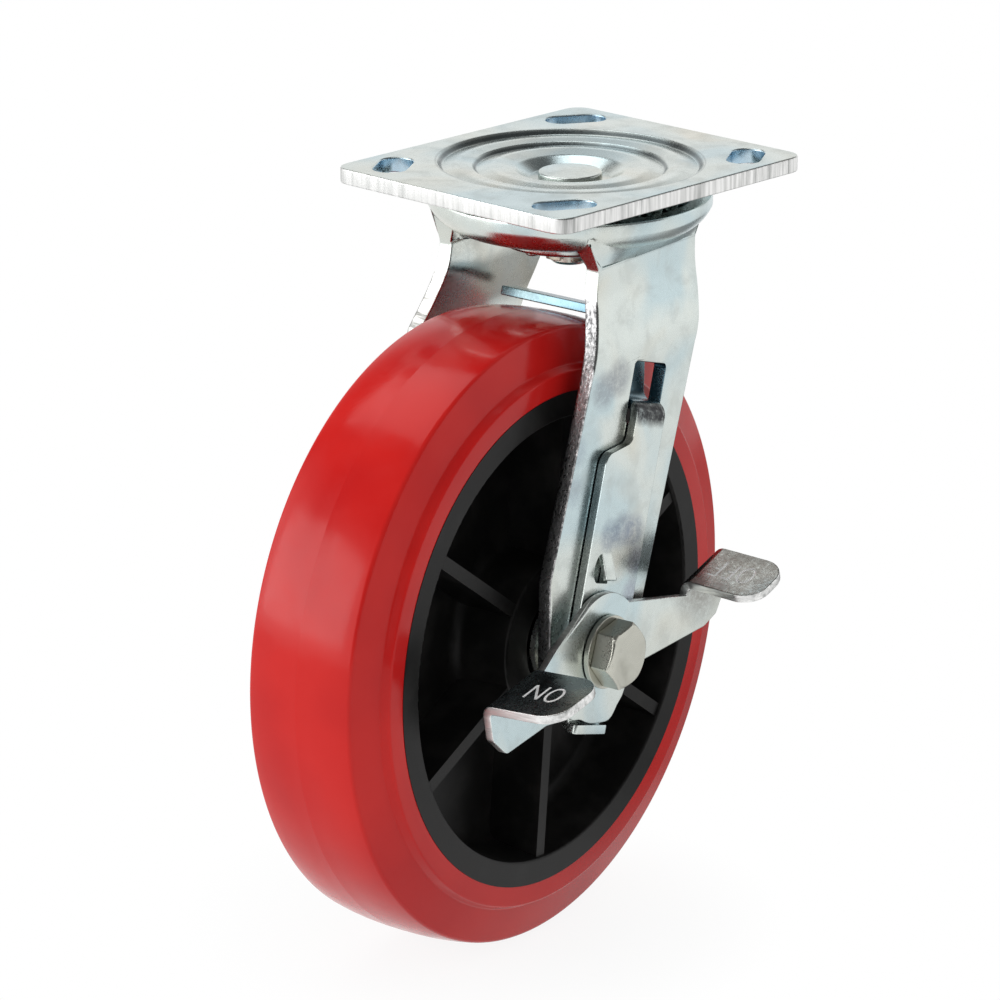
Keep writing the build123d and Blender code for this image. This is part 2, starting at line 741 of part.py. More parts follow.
# the strip's bent run seen along its width, cut to the outline seen from the side
with BuildPart() as brake_strap:
    with BuildSketch(strap_section_plane(-strap_back)):
        with BuildLine():
            near_face = FilletPolyline(
                (-tab_end, tab_bottom),
                (-strap_near, tab_bottom),
                (-strap_near, shelf_under),
                (inner_run_low, shelf_under),
                (inner_run_high, bar_under + bar_slope * inner_run_high),
                (bar_end, bar_under + bar_slope * bar_end),
                radius=(tab_bend_outside, strap_bend, outer_bend, strap_bend),
            )
            far_face = FilletPolyline(
                (-tab_end, tab_top),
                (-strap_far, tab_top),
                (-strap_far, shelf_top),
                (-strap_inside_low, shelf_top),
                (-strap_inside_high, bar_top - bar_slope * strap_inside_high),
                (bar_end, bar_top + bar_slope * bar_end),
                radius=(tab_bend, outer_bend, strap_bend, outer_bend),
            )
            Line(near_face @ 0, far_face @ 0)
            Line(near_face @ 1, far_face @ 1)
        make_face()
    extrude(amount=3 * strap_back)
    with BuildSketch(axle_plane(leg_outside, strap_lean)) as strap_outline:
        with BuildLine():
            Polyline(
                (tab_front, tab_bottom - cut_margin),
                (tab_front, tab_top + tab_neck),
                (strap_front, -pedal_bush_radius),
                (strap_front, strap_shoulder),
                (neck_front, strap_shoulder + strap_step),
                (neck_front, bar_limit),
                (strap_back, bar_limit),
                (strap_back, -pedal_bush_radius / 2),
                (tab_back, tab_top + tab_neck),
                (tab_back, tab_bottom - cut_margin),
                close=True,
            )
        make_face()
        corners = strap_outline.vertices().sort_by(Axis.Y)[2:-2]
        fillet(corners, strap_corner)
    extrude(amount=3 * leg_outside, mode=Mode.INTERSECT)
    # the bar's slanted end
    with BuildSketch(bar_plane):
        with BuildLine():
            Polyline(
                (neck_front - cut_margin, bar_reach),
                (neck_front, bar_reach),
                (strap_back, bar_end),
                (strap_back, bar_end + cut_margin),
                (neck_front - cut_margin, bar_end + cut_margin),
                close=True,
            )
        make_face()
    extrude(amount=2 * strap_thickness, both=True, mode=Mode.SUBTRACT)
    # the slot that slides over the pedal's sleeve
    with BuildSketch(axle_plane(0, strap_lean)):
        with Locations((0, brake_travel / 2)):
            SlotCenterToCenter(brake_travel, 2 * (pedal_bush_radius + strap_slot_gap), rotation=90)
    extrude(amount=2 * leg_outside, mode=Mode.SUBTRACT)
    # the mouth behind the tongue, round on its front side
    with BuildSketch(axle_plane(0, strap_lean)):
        with Locations((tongue_front, tongue_top - mouth_length / 2)):
            Ellipse(mouth_width, mouth_length / 2)
        with Locations((tongue_front + tongue_width / 2, tongue_top - mouth_length / 2)):
            Rectangle(tongue_width, mouth_length, mode=Mode.ADD)
        with Locations((tongue_front + tongue_width * 1.5, tongue_top - mouth_length / 2)):
            Rectangle(tongue_width, mouth_length, mode=Mode.SUBTRACT)
    extrude(amount=2 * leg_outside, mode=Mode.SUBTRACT)
    # the tongue, hinged along its top edge and pushed out at its foot
    with BuildSketch(strap_section_plane(tongue_front + tongue_gap)):
        with BuildLine():
            Polyline(
                (-strap_near, tongue_top + cut_margin),
                (-strap_far, tongue_top + cut_margin),
                (-strap_far, tongue_top),
                (-strap_far - tongue_lift, tongue_top - tongue_length),
                (-strap_far - tongue_lift + tongue_thickness, tongue_top - tongue_length),
                (-strap_near, tongue_top - tongue_thickness),
                close=True,
            )
        make_face()
    extrude(amount=tongue_width - 2 * tongue_gap)

# ---------------------------------------------------------------- brake pedal

letter_lines = {
    "N": [[(0, 0), (0, 1), (1, 0), (1, 1)]],
    "F": [[(0, 0), (0, 1), (1, 1)], [(0, letter_bar), (letter_bar_length, letter_bar)]],
}


def word_sketch(plane, word):
    """A word struck in plain strokes, centred on the plane."""
    length = sum(letter_widths[letter] for letter in word) + letter_gap * (len(word) - 1)
    start = -length / 2
    with BuildSketch(plane) as strokes:
        for letter in word:
            width = letter_widths[letter]
            if letter == "O":
                with Locations((start + width / 2, 0)):
                    Ellipse((width + letter_stroke) / 2, (letter_height + letter_stroke) / 2)
                    Ellipse((width - letter_stroke) / 2, (letter_height - letter_stroke) / 2, mode=Mode.SUBTRACT)
            for line in letter_lines.get(letter, []):
                with BuildLine() as stroke:
                    Polyline(*[(start + x * width, (y - 0.5) * letter_height) for x, y in line])
                trace(stroke.line, letter_stroke)
            start += width + letter_gap
    return strokes.sketch


def foot(start, end, rise, word, word_place):
    """A foot plate bent outward along the top of a pedal arm, from start down the arm to end."""
    face = axle_plane(-pedal_near)
    first = face.from_local_coords((*start, 0))
    last = face.from_local_coords((*end, 0))
    bend_plane = Plane(first, x_dir=-fork_frame.y_dir, z_dir=(last - first).normalized())
    reach = pedal_thickness + foot_width
    with BuildPart() as piece:
        with BuildSketch(bend_plane):
            with BuildLine():
                upper = FilletPolyline(
                    (0, -foot_root),
                    (0, 0),
                    (reach, rise),
                    radius=foot_bend + pedal_thickness,
                )
                lower = FilletPolyline(
                    (pedal_thickness, -foot_root),
                    (pedal_thickness, -pedal_thickness),
                    (reach, rise - pedal_thickness),
                    radius=foot_bend,
                )
                Line(upper @ 0, lower @ 0)
                Line(upper @ 1, lower @ 1)
            make_face()
        extrude(amount=(last - first).length)
        upright = piece.edges().filter_by(Axis((0, 0, 0), bend_plane.y_dir))
        fillet(upright.sort_by(Axis((0, 0, 0), bend_plane.x_dir))[-2:], foot_corner)
        share = (pedal_thickness + foot_width * word_place) / reach
        inward = -(bend_plane.x_dir * reach + bend_plane.y_dir * rise)
        middle = (first + last) / 2 - inward * share
        word_plane = Plane(middle, x_dir=inward, z_dir=inward.cross(bend_plane.z_dir))
        add(word_sketch(word_plane, word))
        extrude(amount=-letter_depth, mode=Mode.SUBTRACT)
    return piece.part


with BuildPart() as brake_pedal:
    with BuildSketch(axle_plane(-pedal_near)):
        Circle(pedal_hub_radius)
        # the cam that bears on the strap's tab
        with BuildLine():
            cam = Spline(*[polar(radius, degrees) for radius, degrees in cam_points])
            Polyline(cam @ 1, (0, 0), cam @ 0)
        make_face()
        # the front arm, pressed to brake
        with BuildLine():
            Polyline(
                polar(pedal_hub_radius, on_arm_root),
                on_arm_dip,
                on_foot_start,
                (on_foot_start[0], on_foot_start[1] - foot_root),
                (on_foot_end[0], on_foot_end[1] - foot_root),
                on_arm_heel,
                on_arm_toe,
                on_arm_under,
                polar(*cam_points[-1]),
                (0, 0),
                close=True,
            )
        make_face()
        # the back arm, pressed to release
        with BuildLine():
            Polyline(
                polar(pedal_hub_radius, off_arm_root),
                off_foot_end,
                (off_foot_end[0], off_foot_end[1] - foot_root),
                (off_foot_start[0], off_foot_start[1] - foot_root),
                off_arm_heel,
                off_arm_toe,
                (off_arm_under[0], off_arm_bottom),
                (off_arm_under[1], off_arm_bottom),
                (0, 0),
                close=True,
            )
        make_face()
        Circle(pedal_bush_radius + running_clearance, mode=Mode.SUBTRACT)
    extrude(amount=pedal_thickness)
    add(foot(on_foot_start, on_foot_end, on_foot_rise, "ON", on_word_place))
    add(foot(off_foot_start, off_foot_end, off_foot_rise, "OFF", off_word_place))

# ---------------------------------------------------------------- the finished pieces

pieces = {
    "top_plate": top_plate.part,
    "kingpin": kingpin.part,
    "kingpin_nut": kingpin_nut.part,
    "split_pin": split_pin.part,
    "upper_balls": upper_balls,
    "lower_balls": lower_balls,
    "lower_race_cup": lower_race_cup.part,
    "fork": fork.part,
    "tyre": tyre.part,
    "wheel_core": wheel_core.part,
    "bearing_sleeve": bearing_sleeve,
    "bearing_rollers": bearing_rollers.part,
    "roller_cage": roller_cage.part,
    "spanner_bushing": spanner_bushing,
    "hub_washers": hub_washers.part,
    "axle_bolt": axle_bolt.part,
    "axle_nut": axle_nut.part,
    "bolt_washer": bolt_washer,
    "nut_washer": nut_washer,
    "pedal_bush": pedal_bush,
    "brake_strap": brake_strap.part,
    "brake_pedal": brake_pedal.part,
}

for name, piece in pieces.items():
    piece.label = name
    export_step(piece, f"parts/{name}.step")
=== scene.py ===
import json
import math

import bpy
from mathutils import Matrix, Vector

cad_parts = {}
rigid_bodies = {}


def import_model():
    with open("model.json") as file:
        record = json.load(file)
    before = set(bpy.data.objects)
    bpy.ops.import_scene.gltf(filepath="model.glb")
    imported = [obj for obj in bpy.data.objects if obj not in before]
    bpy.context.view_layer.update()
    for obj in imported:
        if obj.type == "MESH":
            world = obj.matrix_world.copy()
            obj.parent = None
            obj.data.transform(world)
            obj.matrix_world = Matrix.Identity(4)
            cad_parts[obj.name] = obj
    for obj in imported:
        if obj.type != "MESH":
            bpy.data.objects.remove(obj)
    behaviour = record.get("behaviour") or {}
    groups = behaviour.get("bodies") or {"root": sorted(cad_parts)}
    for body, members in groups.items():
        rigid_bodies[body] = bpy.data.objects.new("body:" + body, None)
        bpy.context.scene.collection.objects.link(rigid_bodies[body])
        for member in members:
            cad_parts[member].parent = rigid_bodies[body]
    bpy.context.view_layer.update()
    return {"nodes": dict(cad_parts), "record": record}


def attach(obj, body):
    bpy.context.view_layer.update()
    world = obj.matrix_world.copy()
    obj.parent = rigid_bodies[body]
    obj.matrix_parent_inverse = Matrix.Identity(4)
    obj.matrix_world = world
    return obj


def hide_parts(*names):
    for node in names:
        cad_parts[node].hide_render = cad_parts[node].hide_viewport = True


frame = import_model()
nodes = frame["nodes"]
bpy.ops.object.select_all(action="DESELECT")
print("frame loaded,", len(nodes), "nodes")

# the castor's frame: the wheel trails against alongFork, and the brake is on the minus side of acrossFork
mm = 0.001
forkTurn = math.radians(7.0)
alongFork = Vector((math.cos(forkTurn), math.sin(forkTurn), 0))
acrossFork = Vector((-math.sin(forkTurn), math.cos(forkTurn), 0))
axle = {"trail": 40.3, "drop": 141.0}
strapLean = 16.5
mergeReach = 0.000001
flatAngle = math.radians(0.06)


def onFork(along, across, up):
    # a place on the fork, in millimetres from the middle of the plate's top
    return (alongFork * along + acrossFork * across + Vector((0, 0, up))) * mm


def onLean(lean, side, up, across):
    # a place from the axle, on lines that lean towards the swivel axis by that many degrees
    angle = math.radians(lean)
    along = side * math.cos(angle) + up * math.sin(angle) - axle["trail"]
    return onFork(along, across, up * math.cos(angle) - side * math.sin(angle) - axle["drop"])


# node helpers

def put(tree, kind, wires=None, **settings):
    # one shader node; wires are sockets to link or plain values
    node = tree.nodes.new("ShaderNode" + kind)
    for name, value in settings.items():
        setattr(node, name, value)
    for name, value in (wires or {}).items():
        if isinstance(value, bpy.types.NodeSocket):
            tree.links.new(value, node.inputs[name])
        else:
            node.inputs[name].default_value = value
    return node


def mixColours(tree, factor, first, second):
    node = put(tree, "Mix", data_type="RGBA")
    for place, value in ((0, factor), (6, first), (7, second)):
        if isinstance(value, bpy.types.NodeSocket):
            tree.links.new(value, node.inputs[place])
        else:
            node.inputs[place].default_value = value
    return node.outputs[2]


def spread(tree, value, low, high, toLow=0.0, toHigh=1.0):
    # value from low..high to toLow..toHigh, clamped
    wires = {"Value": value, "From Min": low, "From Max": high, "To Min": toLow, "To Max": toHigh}
    return put(tree, "MapRange", wires).outputs["Result"]


def calc(tree, operation, first, second=0.0):
    return put(tree, "Math", {0: first, 1: second}, operation=operation).outputs[0]


def noise(tree, coords, scale, detail=3.0, roughness=0.5, distortion=0.0):
    wires = {"Vector": coords, "Scale": scale, "Detail": detail}
    wires.update({"Roughness": roughness, "Distortion": distortion})
    return put(tree, "TexNoise", wires).outputs["Fac"]


def bump(tree, height, distance, under=None):
    # relief from a texture, laid over the relief that is under it
    wires = {"Height": height, "Distance": distance, "Strength": 1.0}
    if under:
        wires["Normal"] = under
    return put(tree, "Bump", wires).outputs["Normal"]


def dress(tree, shader, base, rough, normal):
    for name, value in (("Base Color", base), ("Roughness", rough), ("Normal", normal)):
        tree.links.new(value, shader.inputs[name])


def stretched(tree, coords, turn, scale):
    # coordinates turned about Z and stretched, for brushed and sheared grain
    wires = {"Vector": coords, "Rotation": (0, 0, -turn), "Scale": scale}
    return put(tree, "Mapping", wires).outputs["Vector"]


def newMaterial(name):
    material = bpy.data.materials.new(name)
    material.use_nodes = True
    tree = material.node_tree
    tree.nodes.clear()
    shader = put(tree, "BsdfPrincipled")
    put(tree, "OutputMaterial", {"Surface": shader.outputs["BSDF"]})
    coords = put(tree, "TexCoord").outputs["Object"]
    return material, tree, shader, coords


def colour(red, green, blue):
    return (red, green, blue, 1.0)


# finishes

zincLook = {
    "pale": colour(0.66, 0.71, 0.68),
    "blue": colour(0.54, 0.65, 0.67),
    "yellow": colour(0.68, 0.66, 0.57),
    "grey": colour(0.42, 0.44, 0.42),
    # the dark colour of the painted shade lines at the plate's pressed rings
    "line": colour(0.05, 0.07, 0.08),
    "tintScale": 28.0,
    "cloudScale": 95.0,
    "grainScale": 1400.0,
    "fleckScale": 620.0,
    # from and to of each pattern, then how strong it is at both ends
    "blueRange": (0.38, 0.52),
    "yellowRange": (0.56, 0.72, 0, 0.8),
    "cloudRange": (0.50, 0.80, 0, 0.45),
    "fleckRange": (0.66, 0.80, 0, 0.35),
    "rubbedRange": (0.35, 0.55, 0.55, 1.0),
    "roughRange": (0.30, 0.75),
    "grainRange": (0.3, 0.7, -0.04, 0.04),
    "patchCore": 0.6,
    "lineCore": 0.3,
    "roughLow": 0.20,
    "roughHigh": 0.36,
    "metal": 1.0,
    "waveHeight": 0.00022,
    "grainHeight": 0.000012,
}


def zincMaterial(name, look, patches=(), rings=()):
    # patches are places tinted towards a tone, each as its place, reach in millimetres, tone and strength
    # rings are painted shade: dark lines round the swivel axis at the steps of the pressed rings, each as its
    # radius, half width and strength
    material, tree, shader, coords = newMaterial(name)
    tint = noise(tree, coords, look["tintScale"], 2.0, 0.5, 0.6)
    cloud = noise(tree, coords, look["cloudScale"], 5.0, 0.6, 0.4)
    grain = noise(tree, coords, look["grainScale"], 2.0, 0.6)
    fleck = noise(tree, coords, look["fleckScale"], 4.0, 0.75)
    base = mixColours(tree, spread(tree, tint, *look["blueRange"]), look["blue"], look["pale"])
    base = mixColours(tree, spread(tree, tint, *look["yellowRange"]), base, look["yellow"])
    base = mixColours(tree, spread(tree, cloud, *look["cloudRange"]), base, look["grey"])
    base = mixColours(tree, spread(tree, fleck, *look["fleckRange"]), base, look["grey"])
    for place, reach, tone, strength in patches:
        away = put(tree, "VectorMath", {0: coords, 1: place}, operation="DISTANCE").outputs["Value"]
        mask = spread(tree, away, reach * look["patchCore"] * mm, reach * mm, strength, 0)
        mask = calc(tree, "MULTIPLY", mask, spread(tree, fleck, *look["rubbedRange"]))
        base = mixColours(tree, mask, base, tone)
    if rings:
        flat = put(tree, "VectorMath", {0: coords, 1: (1, 1, 0)}, operation="MULTIPLY").outputs["Vector"]
        out = put(tree, "VectorMath", {0: flat}, operation="LENGTH").outputs["Value"]
    for radius, half, strength in rings:
        away = calc(tree, "ABSOLUTE", calc(tree, "SUBTRACT", out, radius * mm))
        mask = spread(tree, away, half * look["lineCore"] * mm, half * mm, strength, 0)
        base = mixColours(tree, mask, base, look["line"])
    rough = spread(tree, cloud, *look["roughRange"], look["roughLow"], look["roughHigh"])
    rough = calc(tree, "ADD", rough, spread(tree, grain, *look["grainRange"]))
    wave = bump(tree, tint, look["waveHeight"])
    dress(tree, shader, base, rough, bump(tree, grain, look["grainHeight"], wave))
    shader.inputs["Metallic"].default_value = look["metal"]
    return material


shearedLook = {
    "bright": colour(0.92, 0.92, 0.91),
    "dull": colour(0.48, 0.49, 0.48),
    "streakScale": 650.0,
    "bandScale": 160.0,
    "streakRange": (0.36, 0.66),
    "bandRange": (0.25, 0.6, 0.35, 1.0),
    "roughLow": 0.28,
    "roughHigh": 0.50,
    "streakHeight": 0.00012,
}

# the fork's other cut edges are greyer than the thin sheets' edges, partly as painted dark reflection
forkEdgeShadeLook = dict(shearedLook, bright=colour(0.62, 0.62, 0.60), dull=colour(0.22, 0.22, 0.21))

# the near leg's front edge, painted dark with pale flecks as painted dark reflection
nearEdgeShadeLook = dict(
    shearedLook,
    bright=colour(0.38, 0.38, 0.38),
    dull=colour(0.045, 0.045, 0.048),
    streakScale=1100.0,
    roughLow=0.22,
)


def shearedMaterial(name, look, turn, squeeze):
    # a cut edge: fine streaks that run through the sheet's thickness
    material, tree, shader, coords = newMaterial(name)
    along = stretched(tree, coords, turn, squeeze)
    streak = noise(tree, along, look["streakScale"], 3.0, 0.7)
    band = noise(tree, along, look["bandScale"], 2.0)
    streaks, bands = spread(tree, streak, *look["streakRange"]), spread(tree, band, *look["bandRange"])
    worn = calc(tree, "MULTIPLY", streaks, bands)
    base = mixColours(tree, worn, look["bright"], look["dull"])
    rough = spread(tree, worn, 0, 1, look["roughLow"], look["roughHigh"])
    dress(tree, shader, base, rough, bump(tree, streak, look["streakHeight"]))
    shader.inputs["Metallic"].default_value = 1.0
    return material


boltLook = dict(
    zincLook,
    pale=colour(0.60, 0.60, 0.53),
    blue=colour(0.52, 0.52, 0.46),
    yellow=colour(0.62, 0.60, 0.47),
    grey=colour(0.34, 0.34, 0.29),
    roughLow=0.24,
    roughHigh=0.40,
)

# inside the leg's window and on the strap inside the leg and over the tread, the zinc is darkened and blued
# as painted shade; inside the plate's slots the coating has a blue cast
shadedLook = dict(
    zincLook,
    pale=colour(0.16, 0.25, 0.29),
    blue=colour(0.11, 0.19, 0.24),
    yellow=colour(0.20, 0.27, 0.28),
    grey=colour(0.07, 0.10, 0.12),
)
slotLook = dict(
    zincLook,
    pale=colour(0.56, 0.70, 0.78),
    blue=colour(0.42, 0.58, 0.70),
    yellow=colour(0.60, 0.68, 0.70),
)

# struck letters painted near white along their strokes, as painted highlight
letterHighlightLook = dict(
    zincLook,
    pale=colour(0.96, 0.96, 0.95),
    blue=colour(0.94, 0.95, 0.95),
    roughLow=0.4,
    metal=0.2,
)

bearingLook = dict(zincLook, roughLow=0.12, roughHigh=0.2, waveHeight=0.00005)

tyreLook = {
    "red": colour(0.63, 0.017, 0.014),
    "deep": colour(0.52, 0.010, 0.010),
    "tintScale": 22.0,
    "smearScale": 160.0,
    "tintRange": (0.35, 0.65),
    "smearRange": (0.3, 0.75),
    "roughLow": 0.10,
    "roughHigh": 0.24,
    "specular": 0.22,
    "waveHeight": 0.0004,
    "peelHeight": 0.00002,
}


def tyreMaterial(look):
    material, tree, shader, coords = newMaterial("red urethane")
    tint = noise(tree, coords, look["tintScale"], 2.0)
    smear = noise(tree, coords, look["smearScale"], 4.0, 0.6, 0.5)
    base = mixColours(tree, spread(tree, tint, *look["tintRange"]), look["deep"], look["red"])
    rough = spread(tree, smear, *look["smearRange"], look["roughLow"], look["roughHigh"])
    wave = bump(tree, tint, look["waveHeight"])
    dress(tree, shader, base, rough, bump(tree, smear, look["peelHeight"], wave))
    shader.inputs["Specular IOR Level"].default_value = look["specular"]
    return material


plasticLook = {
    "black": colour(0.0070, 0.0068, 0.0066),
    "worn": colour(0.020, 0.019, 0.018),
    "cloudScale": 70.0,
    "grainScale": 1800.0,
    "wornRange": (0.45, 0.75),
    "cloudRange": (0.3, 0.7),
    "roughLow": 0.34,
    "roughHigh": 0.52,
    "specular": 0.22,
    "grainHeight": 0.00002,
}


def plasticMaterial(look):
    material, tree, shader, coords = newMaterial("black moulding")
    cloud = noise(tree, coords, look["cloudScale"], 4.0, 0.6)
    grain = noise(tree, coords, look["grainScale"], 2.0)
    base = mixColours(tree, spread(tree, cloud, *look["wornRange"]), look["black"], look["worn"])
    rough = spread(tree, cloud, *look["cloudRange"], look["roughLow"], look["roughHigh"])
    dress(tree, shader, base, rough, bump(tree, grain, look["grainHeight"]))
    shader.inputs["Specular IOR Level"].default_value = look["specular"]
    return material


bendShadeGrey = colour(0.035, 0.037, 0.04)
patchBlue = colour(0.20, 0.24, 0.31)
patchViolet = colour(0.26, 0.26, 0.33)
patchDull = colour(0.24, 0.26, 0.29)
# tinted patches on the faces and bends of the strap and the leg; the dark grey ones along the strap's upper
# bend are painted shade
strapPatches = [
    # painted shade along the strap's upper bend, where it turns in through the window
    (onLean(strapLean, 3.5, 76.0, -41.4), 7.0, bendShadeGrey, 1.0),
    (onLean(strapLean, 9.0, 76.0, -41.4), 7.0, bendShadeGrey, 1.0),
    (onLean(strapLean, 14.0, 76.0, -41.4), 7.0, bendShadeGrey, 1.0),
    (onLean(strapLean, -3.0, 35.5, -42.3), 7.0, patchBlue, 0.60),
    (onLean(strapLean, 3.5, 37.5, -42.3), 7.5, patchBlue, 0.60),
    (onLean(strapLean, 10.0, 37.0, -42.3), 7.5, patchBlue, 0.60),
    (onLean(strapLean, 14.0, 28.0, -42.3), 6.5, patchViolet, 0.60),
    (onLean(strapLean, 14.5, 18.0, -42.3), 6.5, patchViolet, 0.60),
]
forkPatches = [
    (onLean(strapLean, -15.0, 79.5, -39.3), 8.0, patchDull, 0.60),
    (onLean(strapLean, -8.0, 84.0, -39.3), 8.0, patchDull, 0.60),
    (onLean(strapLean, -24.0, 60.0, -39.3), 7.0, patchBlue, 0.35),
    (onLean(strapLean, -22.0, 48.0, -39.3), 7.0, patchBlue, 0.35),
    (onLean(strapLean, 29.0, 104.7, -39.3), 4.0, patchDull, 0.70),
]
# a darker brown tone over the OFF foot and a paler blue-grey tone over the ON foot
pedalPatches = [
    (onLean(0, 55.0, 11.5, -56.0), 24.0, colour(0.19, 0.165, 0.145), 0.80),
    (onLean(0, -52.0, 2.0, -52.0), 14.0, colour(0.42, 0.46, 0.50), 0.50),
]
# painted shade at the steps of the plate's pressed rings: radius, half width and strength
plateShadeRings = [(40.6, 0.9, 0.75), (29.7, 0.75, 0.7), (41.9, 0.5, 0.3)]
acrossGrain, uprightGrain, rolledGrain = (1, 0.06, 1), (1, 1, 0.05), (1, 1, 0.5)
zinc = zincMaterial("bright zinc", zincLook)
pedalZinc = zincMaterial("pedal zinc", zincLook, pedalPatches)
plateZinc = zincMaterial("plate zinc", zincLook, rings=plateShadeRings)
strapZinc = zincMaterial("strap zinc", zincLook, strapPatches)
forkZinc = zincMaterial("fork zinc", zincLook, forkPatches)
zincEdge = shearedMaterial("sheared edge", shearedLook, forkTurn, acrossGrain)
zincEdgeUpright = shearedMaterial("sheared plate edge", shearedLook, 0, uprightGrain)
letterHighlightZinc = zincMaterial("struck letters", letterHighlightLook)
forkEdgeShade = shearedMaterial("fork edge", forkEdgeShadeLook, forkTurn, acrossGrain)
nearEdgeShade = shearedMaterial("rolled edge", nearEdgeShadeLook, forkTurn, rolledGrain)
shadedZinc = zincMaterial("shaded zinc", shadedLook)
slotZinc = zincMaterial("slot zinc", slotLook)
boltZinc = zincMaterial("dull zinc", boltLook)
bearingSteel = zincMaterial("bearing steel", bearingLook)
redUrethane = tyreMaterial(tyreLook)
blackMoulding = plasticMaterial(plasticLook)

finishes = {
    "zinc_plate": zinc,
    "bolt_steel": boltZinc,
    "bearing_steel": bearingSteel,
    "red_polyurethane": redUrethane,
    "black_plastic": blackMoulding,
}
for part in frame["record"]["subparts"]:
    mesh = nodes[part["node"]].data
    mesh.materials.clear()
    mesh.materials.append(finishes[part["material_slot"]])
print("finishes made")


# modelling helpers

def activate(piece):
    bpy.ops.object.select_all(action="DESELECT")
    bpy.context.view_layer.objects.active = piece
    piece.select_set(True)


def copyOf(name, nodeName):
    # a merged copy of one node's mesh, flat triangles joined to whole faces
    source = nodes[nodeName]
    piece = bpy.data.objects.new(name, source.data.copy())
    piece.data.name = name
    bpy.context.scene.collection.objects.link(piece)
    activate(piece)
    bpy.ops.object.mode_set(mode="EDIT")
    bpy.ops.mesh.select_all(action="SELECT")
    bpy.ops.mesh.remove_doubles(threshold=mergeReach)
    bpy.ops.mesh.dissolve_limited(angle_limit=flatAngle)
    bpy.ops.object.mode_set(mode="OBJECT")
    return piece


def circlePoints(radius, count, rise=0.0):
    turns = [math.tau * step / count for step in range(count)]
    return [(radius * math.cos(turn), radius * math.sin(turn) + rise) for turn in turns]


def roundedLine(corners, steps=6):
    # corners are (x, y, radius), and a corner with a radius becomes an arc
    points = []
    for place, (x, y, radius) in enumerate(corners):
        here = Vector((x, y))
        if not radius:
            points.append(here)
            continue
        before = (Vector(corners[place - 1][:2]) - here).normalized()
        after = (Vector(corners[(place + 1) % len(corners)][:2]) - here).normalized()
        half = before.angle(after) / 2
        centre = here + (before + after).normalized() * (radius / math.sin(half))
        first = here + before * (radius / math.tan(half)) - centre
        last = here + after * (radius / math.tan(half)) - centre
        sweep = first.angle(last)
        for step in range(steps + 1):
            share = step / steps
            spoke = first * math.sin((1 - share) * sweep) + last * math.sin(share * sweep)
            points.append(centre + spoke / math.sin(sweep))
    return points


def traceLine(name, points, closed=True, filled=True):
    # draws vertex after vertex from place to place, then fills the outline
    bpy.ops.object.select_all(action="DESELECT")
    bpy.ops.mesh.primitive_plane_add(size=mm, location=points[0])
    piece = bpy.context.object
    piece.name = name
    piece.data.name = name
    bpy.ops.object.transform_apply(location=True, rotation=False, scale=False)
    bpy.ops.object.mode_set(mode="EDIT")
    bpy.ops.mesh.select_mode(type="VERT")
    bpy.ops.mesh.select_all(action="SELECT")
    bpy.ops.mesh.merge(type="CENTER")
    route = list(points) + [points[0]] if closed else list(points)
    for here, there in zip(route, route[1:]):
        bpy.ops.mesh.extrude_vertices_move(TRANSFORM_OT_translate={"value": there - here})
    bpy.ops.mesh.select_all(action="SELECT")
    bpy.ops.mesh.remove_doubles(threshold=mergeReach)
    if closed and filled:
        bpy.ops.mesh.edge_face_add()
    bpy.ops.object.mode_set(mode="OBJECT")
    return piece


def pickVertices(piece, test):
    activate(piece)
    bpy.ops.object.mode_set(mode="EDIT")
    bpy.ops.mesh.select_mode(type="VERT")
    bpy.ops.mesh.select_all(action="DESELECT")
    bpy.ops.object.mode_set(mode="OBJECT")
    for vertex in piece.data.vertices:
        vertex.select = test(vertex.co)
    bpy.ops.object.mode_set(mode="EDIT")


def pickEdges(piece, test):
    # leaves the piece in edit mode with the edges whose middles pass
    activate(piece)
    bpy.ops.object.mode_set(mode="EDIT")
    bpy.ops.mesh.select_mode(type="EDGE")
    bpy.ops.mesh.select_all(action="DESELECT")
    bpy.ops.object.mode_set(mode="OBJECT")
    vertices = piece.data.vertices
    for edge in piece.data.edges:
        first, last = (vertices[place].co for place in edge.vertices)
        edge.select = test((first + last) / 2)
    bpy.ops.object.mode_set(mode="EDIT")


def near(place, reach=0.05):
    return lambda spot: (spot - place).length < reach * mm


def pullEdge(piece, start, step):
    # extrudes one edge, found by its middle, and gives the middle of the new one
    pickEdges(piece, near(start))
    bpy.ops.mesh.extrude_edges_move(TRANSFORM_OT_translate={"value": step})
    bpy.ops.object.mode_set(mode="OBJECT")
    return start + step


def bendEdge(piece, middle, radius, segments=6):
    pickEdges(piece, near(middle))
    bpy.ops.mesh.bevel(offset=radius * mm, segments=segments, affect="EDGES")
    bpy.ops.object.mode_set(mode="OBJECT")


def roundCorner(piece, corner, radius, segments=8):
    pickVertices(piece, near(corner))
    bpy.ops.mesh.bevel(offset=radius * mm, segments=segments, affect="VERTICES")
    bpy.ops.object.mode_set(mode="OBJECT")


def faceAlike(piece, way):
    # turns the whole sheet so that its largest face looks along the way
    activate(piece)
    bpy.ops.object.mode_set(mode="EDIT")
    bpy.ops.mesh.select_all(action="SELECT")
    bpy.ops.mesh.normals_make_consistent(inside=False)
    bpy.ops.object.mode_set(mode="OBJECT")
    largest = max(piece.data.polygons, key=lambda face: face.area)
    if largest.normal.dot(way) < 0:
        bpy.ops.object.mode_set(mode="EDIT")
        bpy.ops.mesh.flip_normals()
        bpy.ops.object.mode_set(mode="OBJECT")


def applyModifier(piece, kind, **settings):
    activate(piece)
    modifier = piece.modifiers.new(kind.lower(), kind)
    for name, value in settings.items():
        setattr(modifier, name, value)
    bpy.ops.object.modifier_apply(modifier=modifier.name)


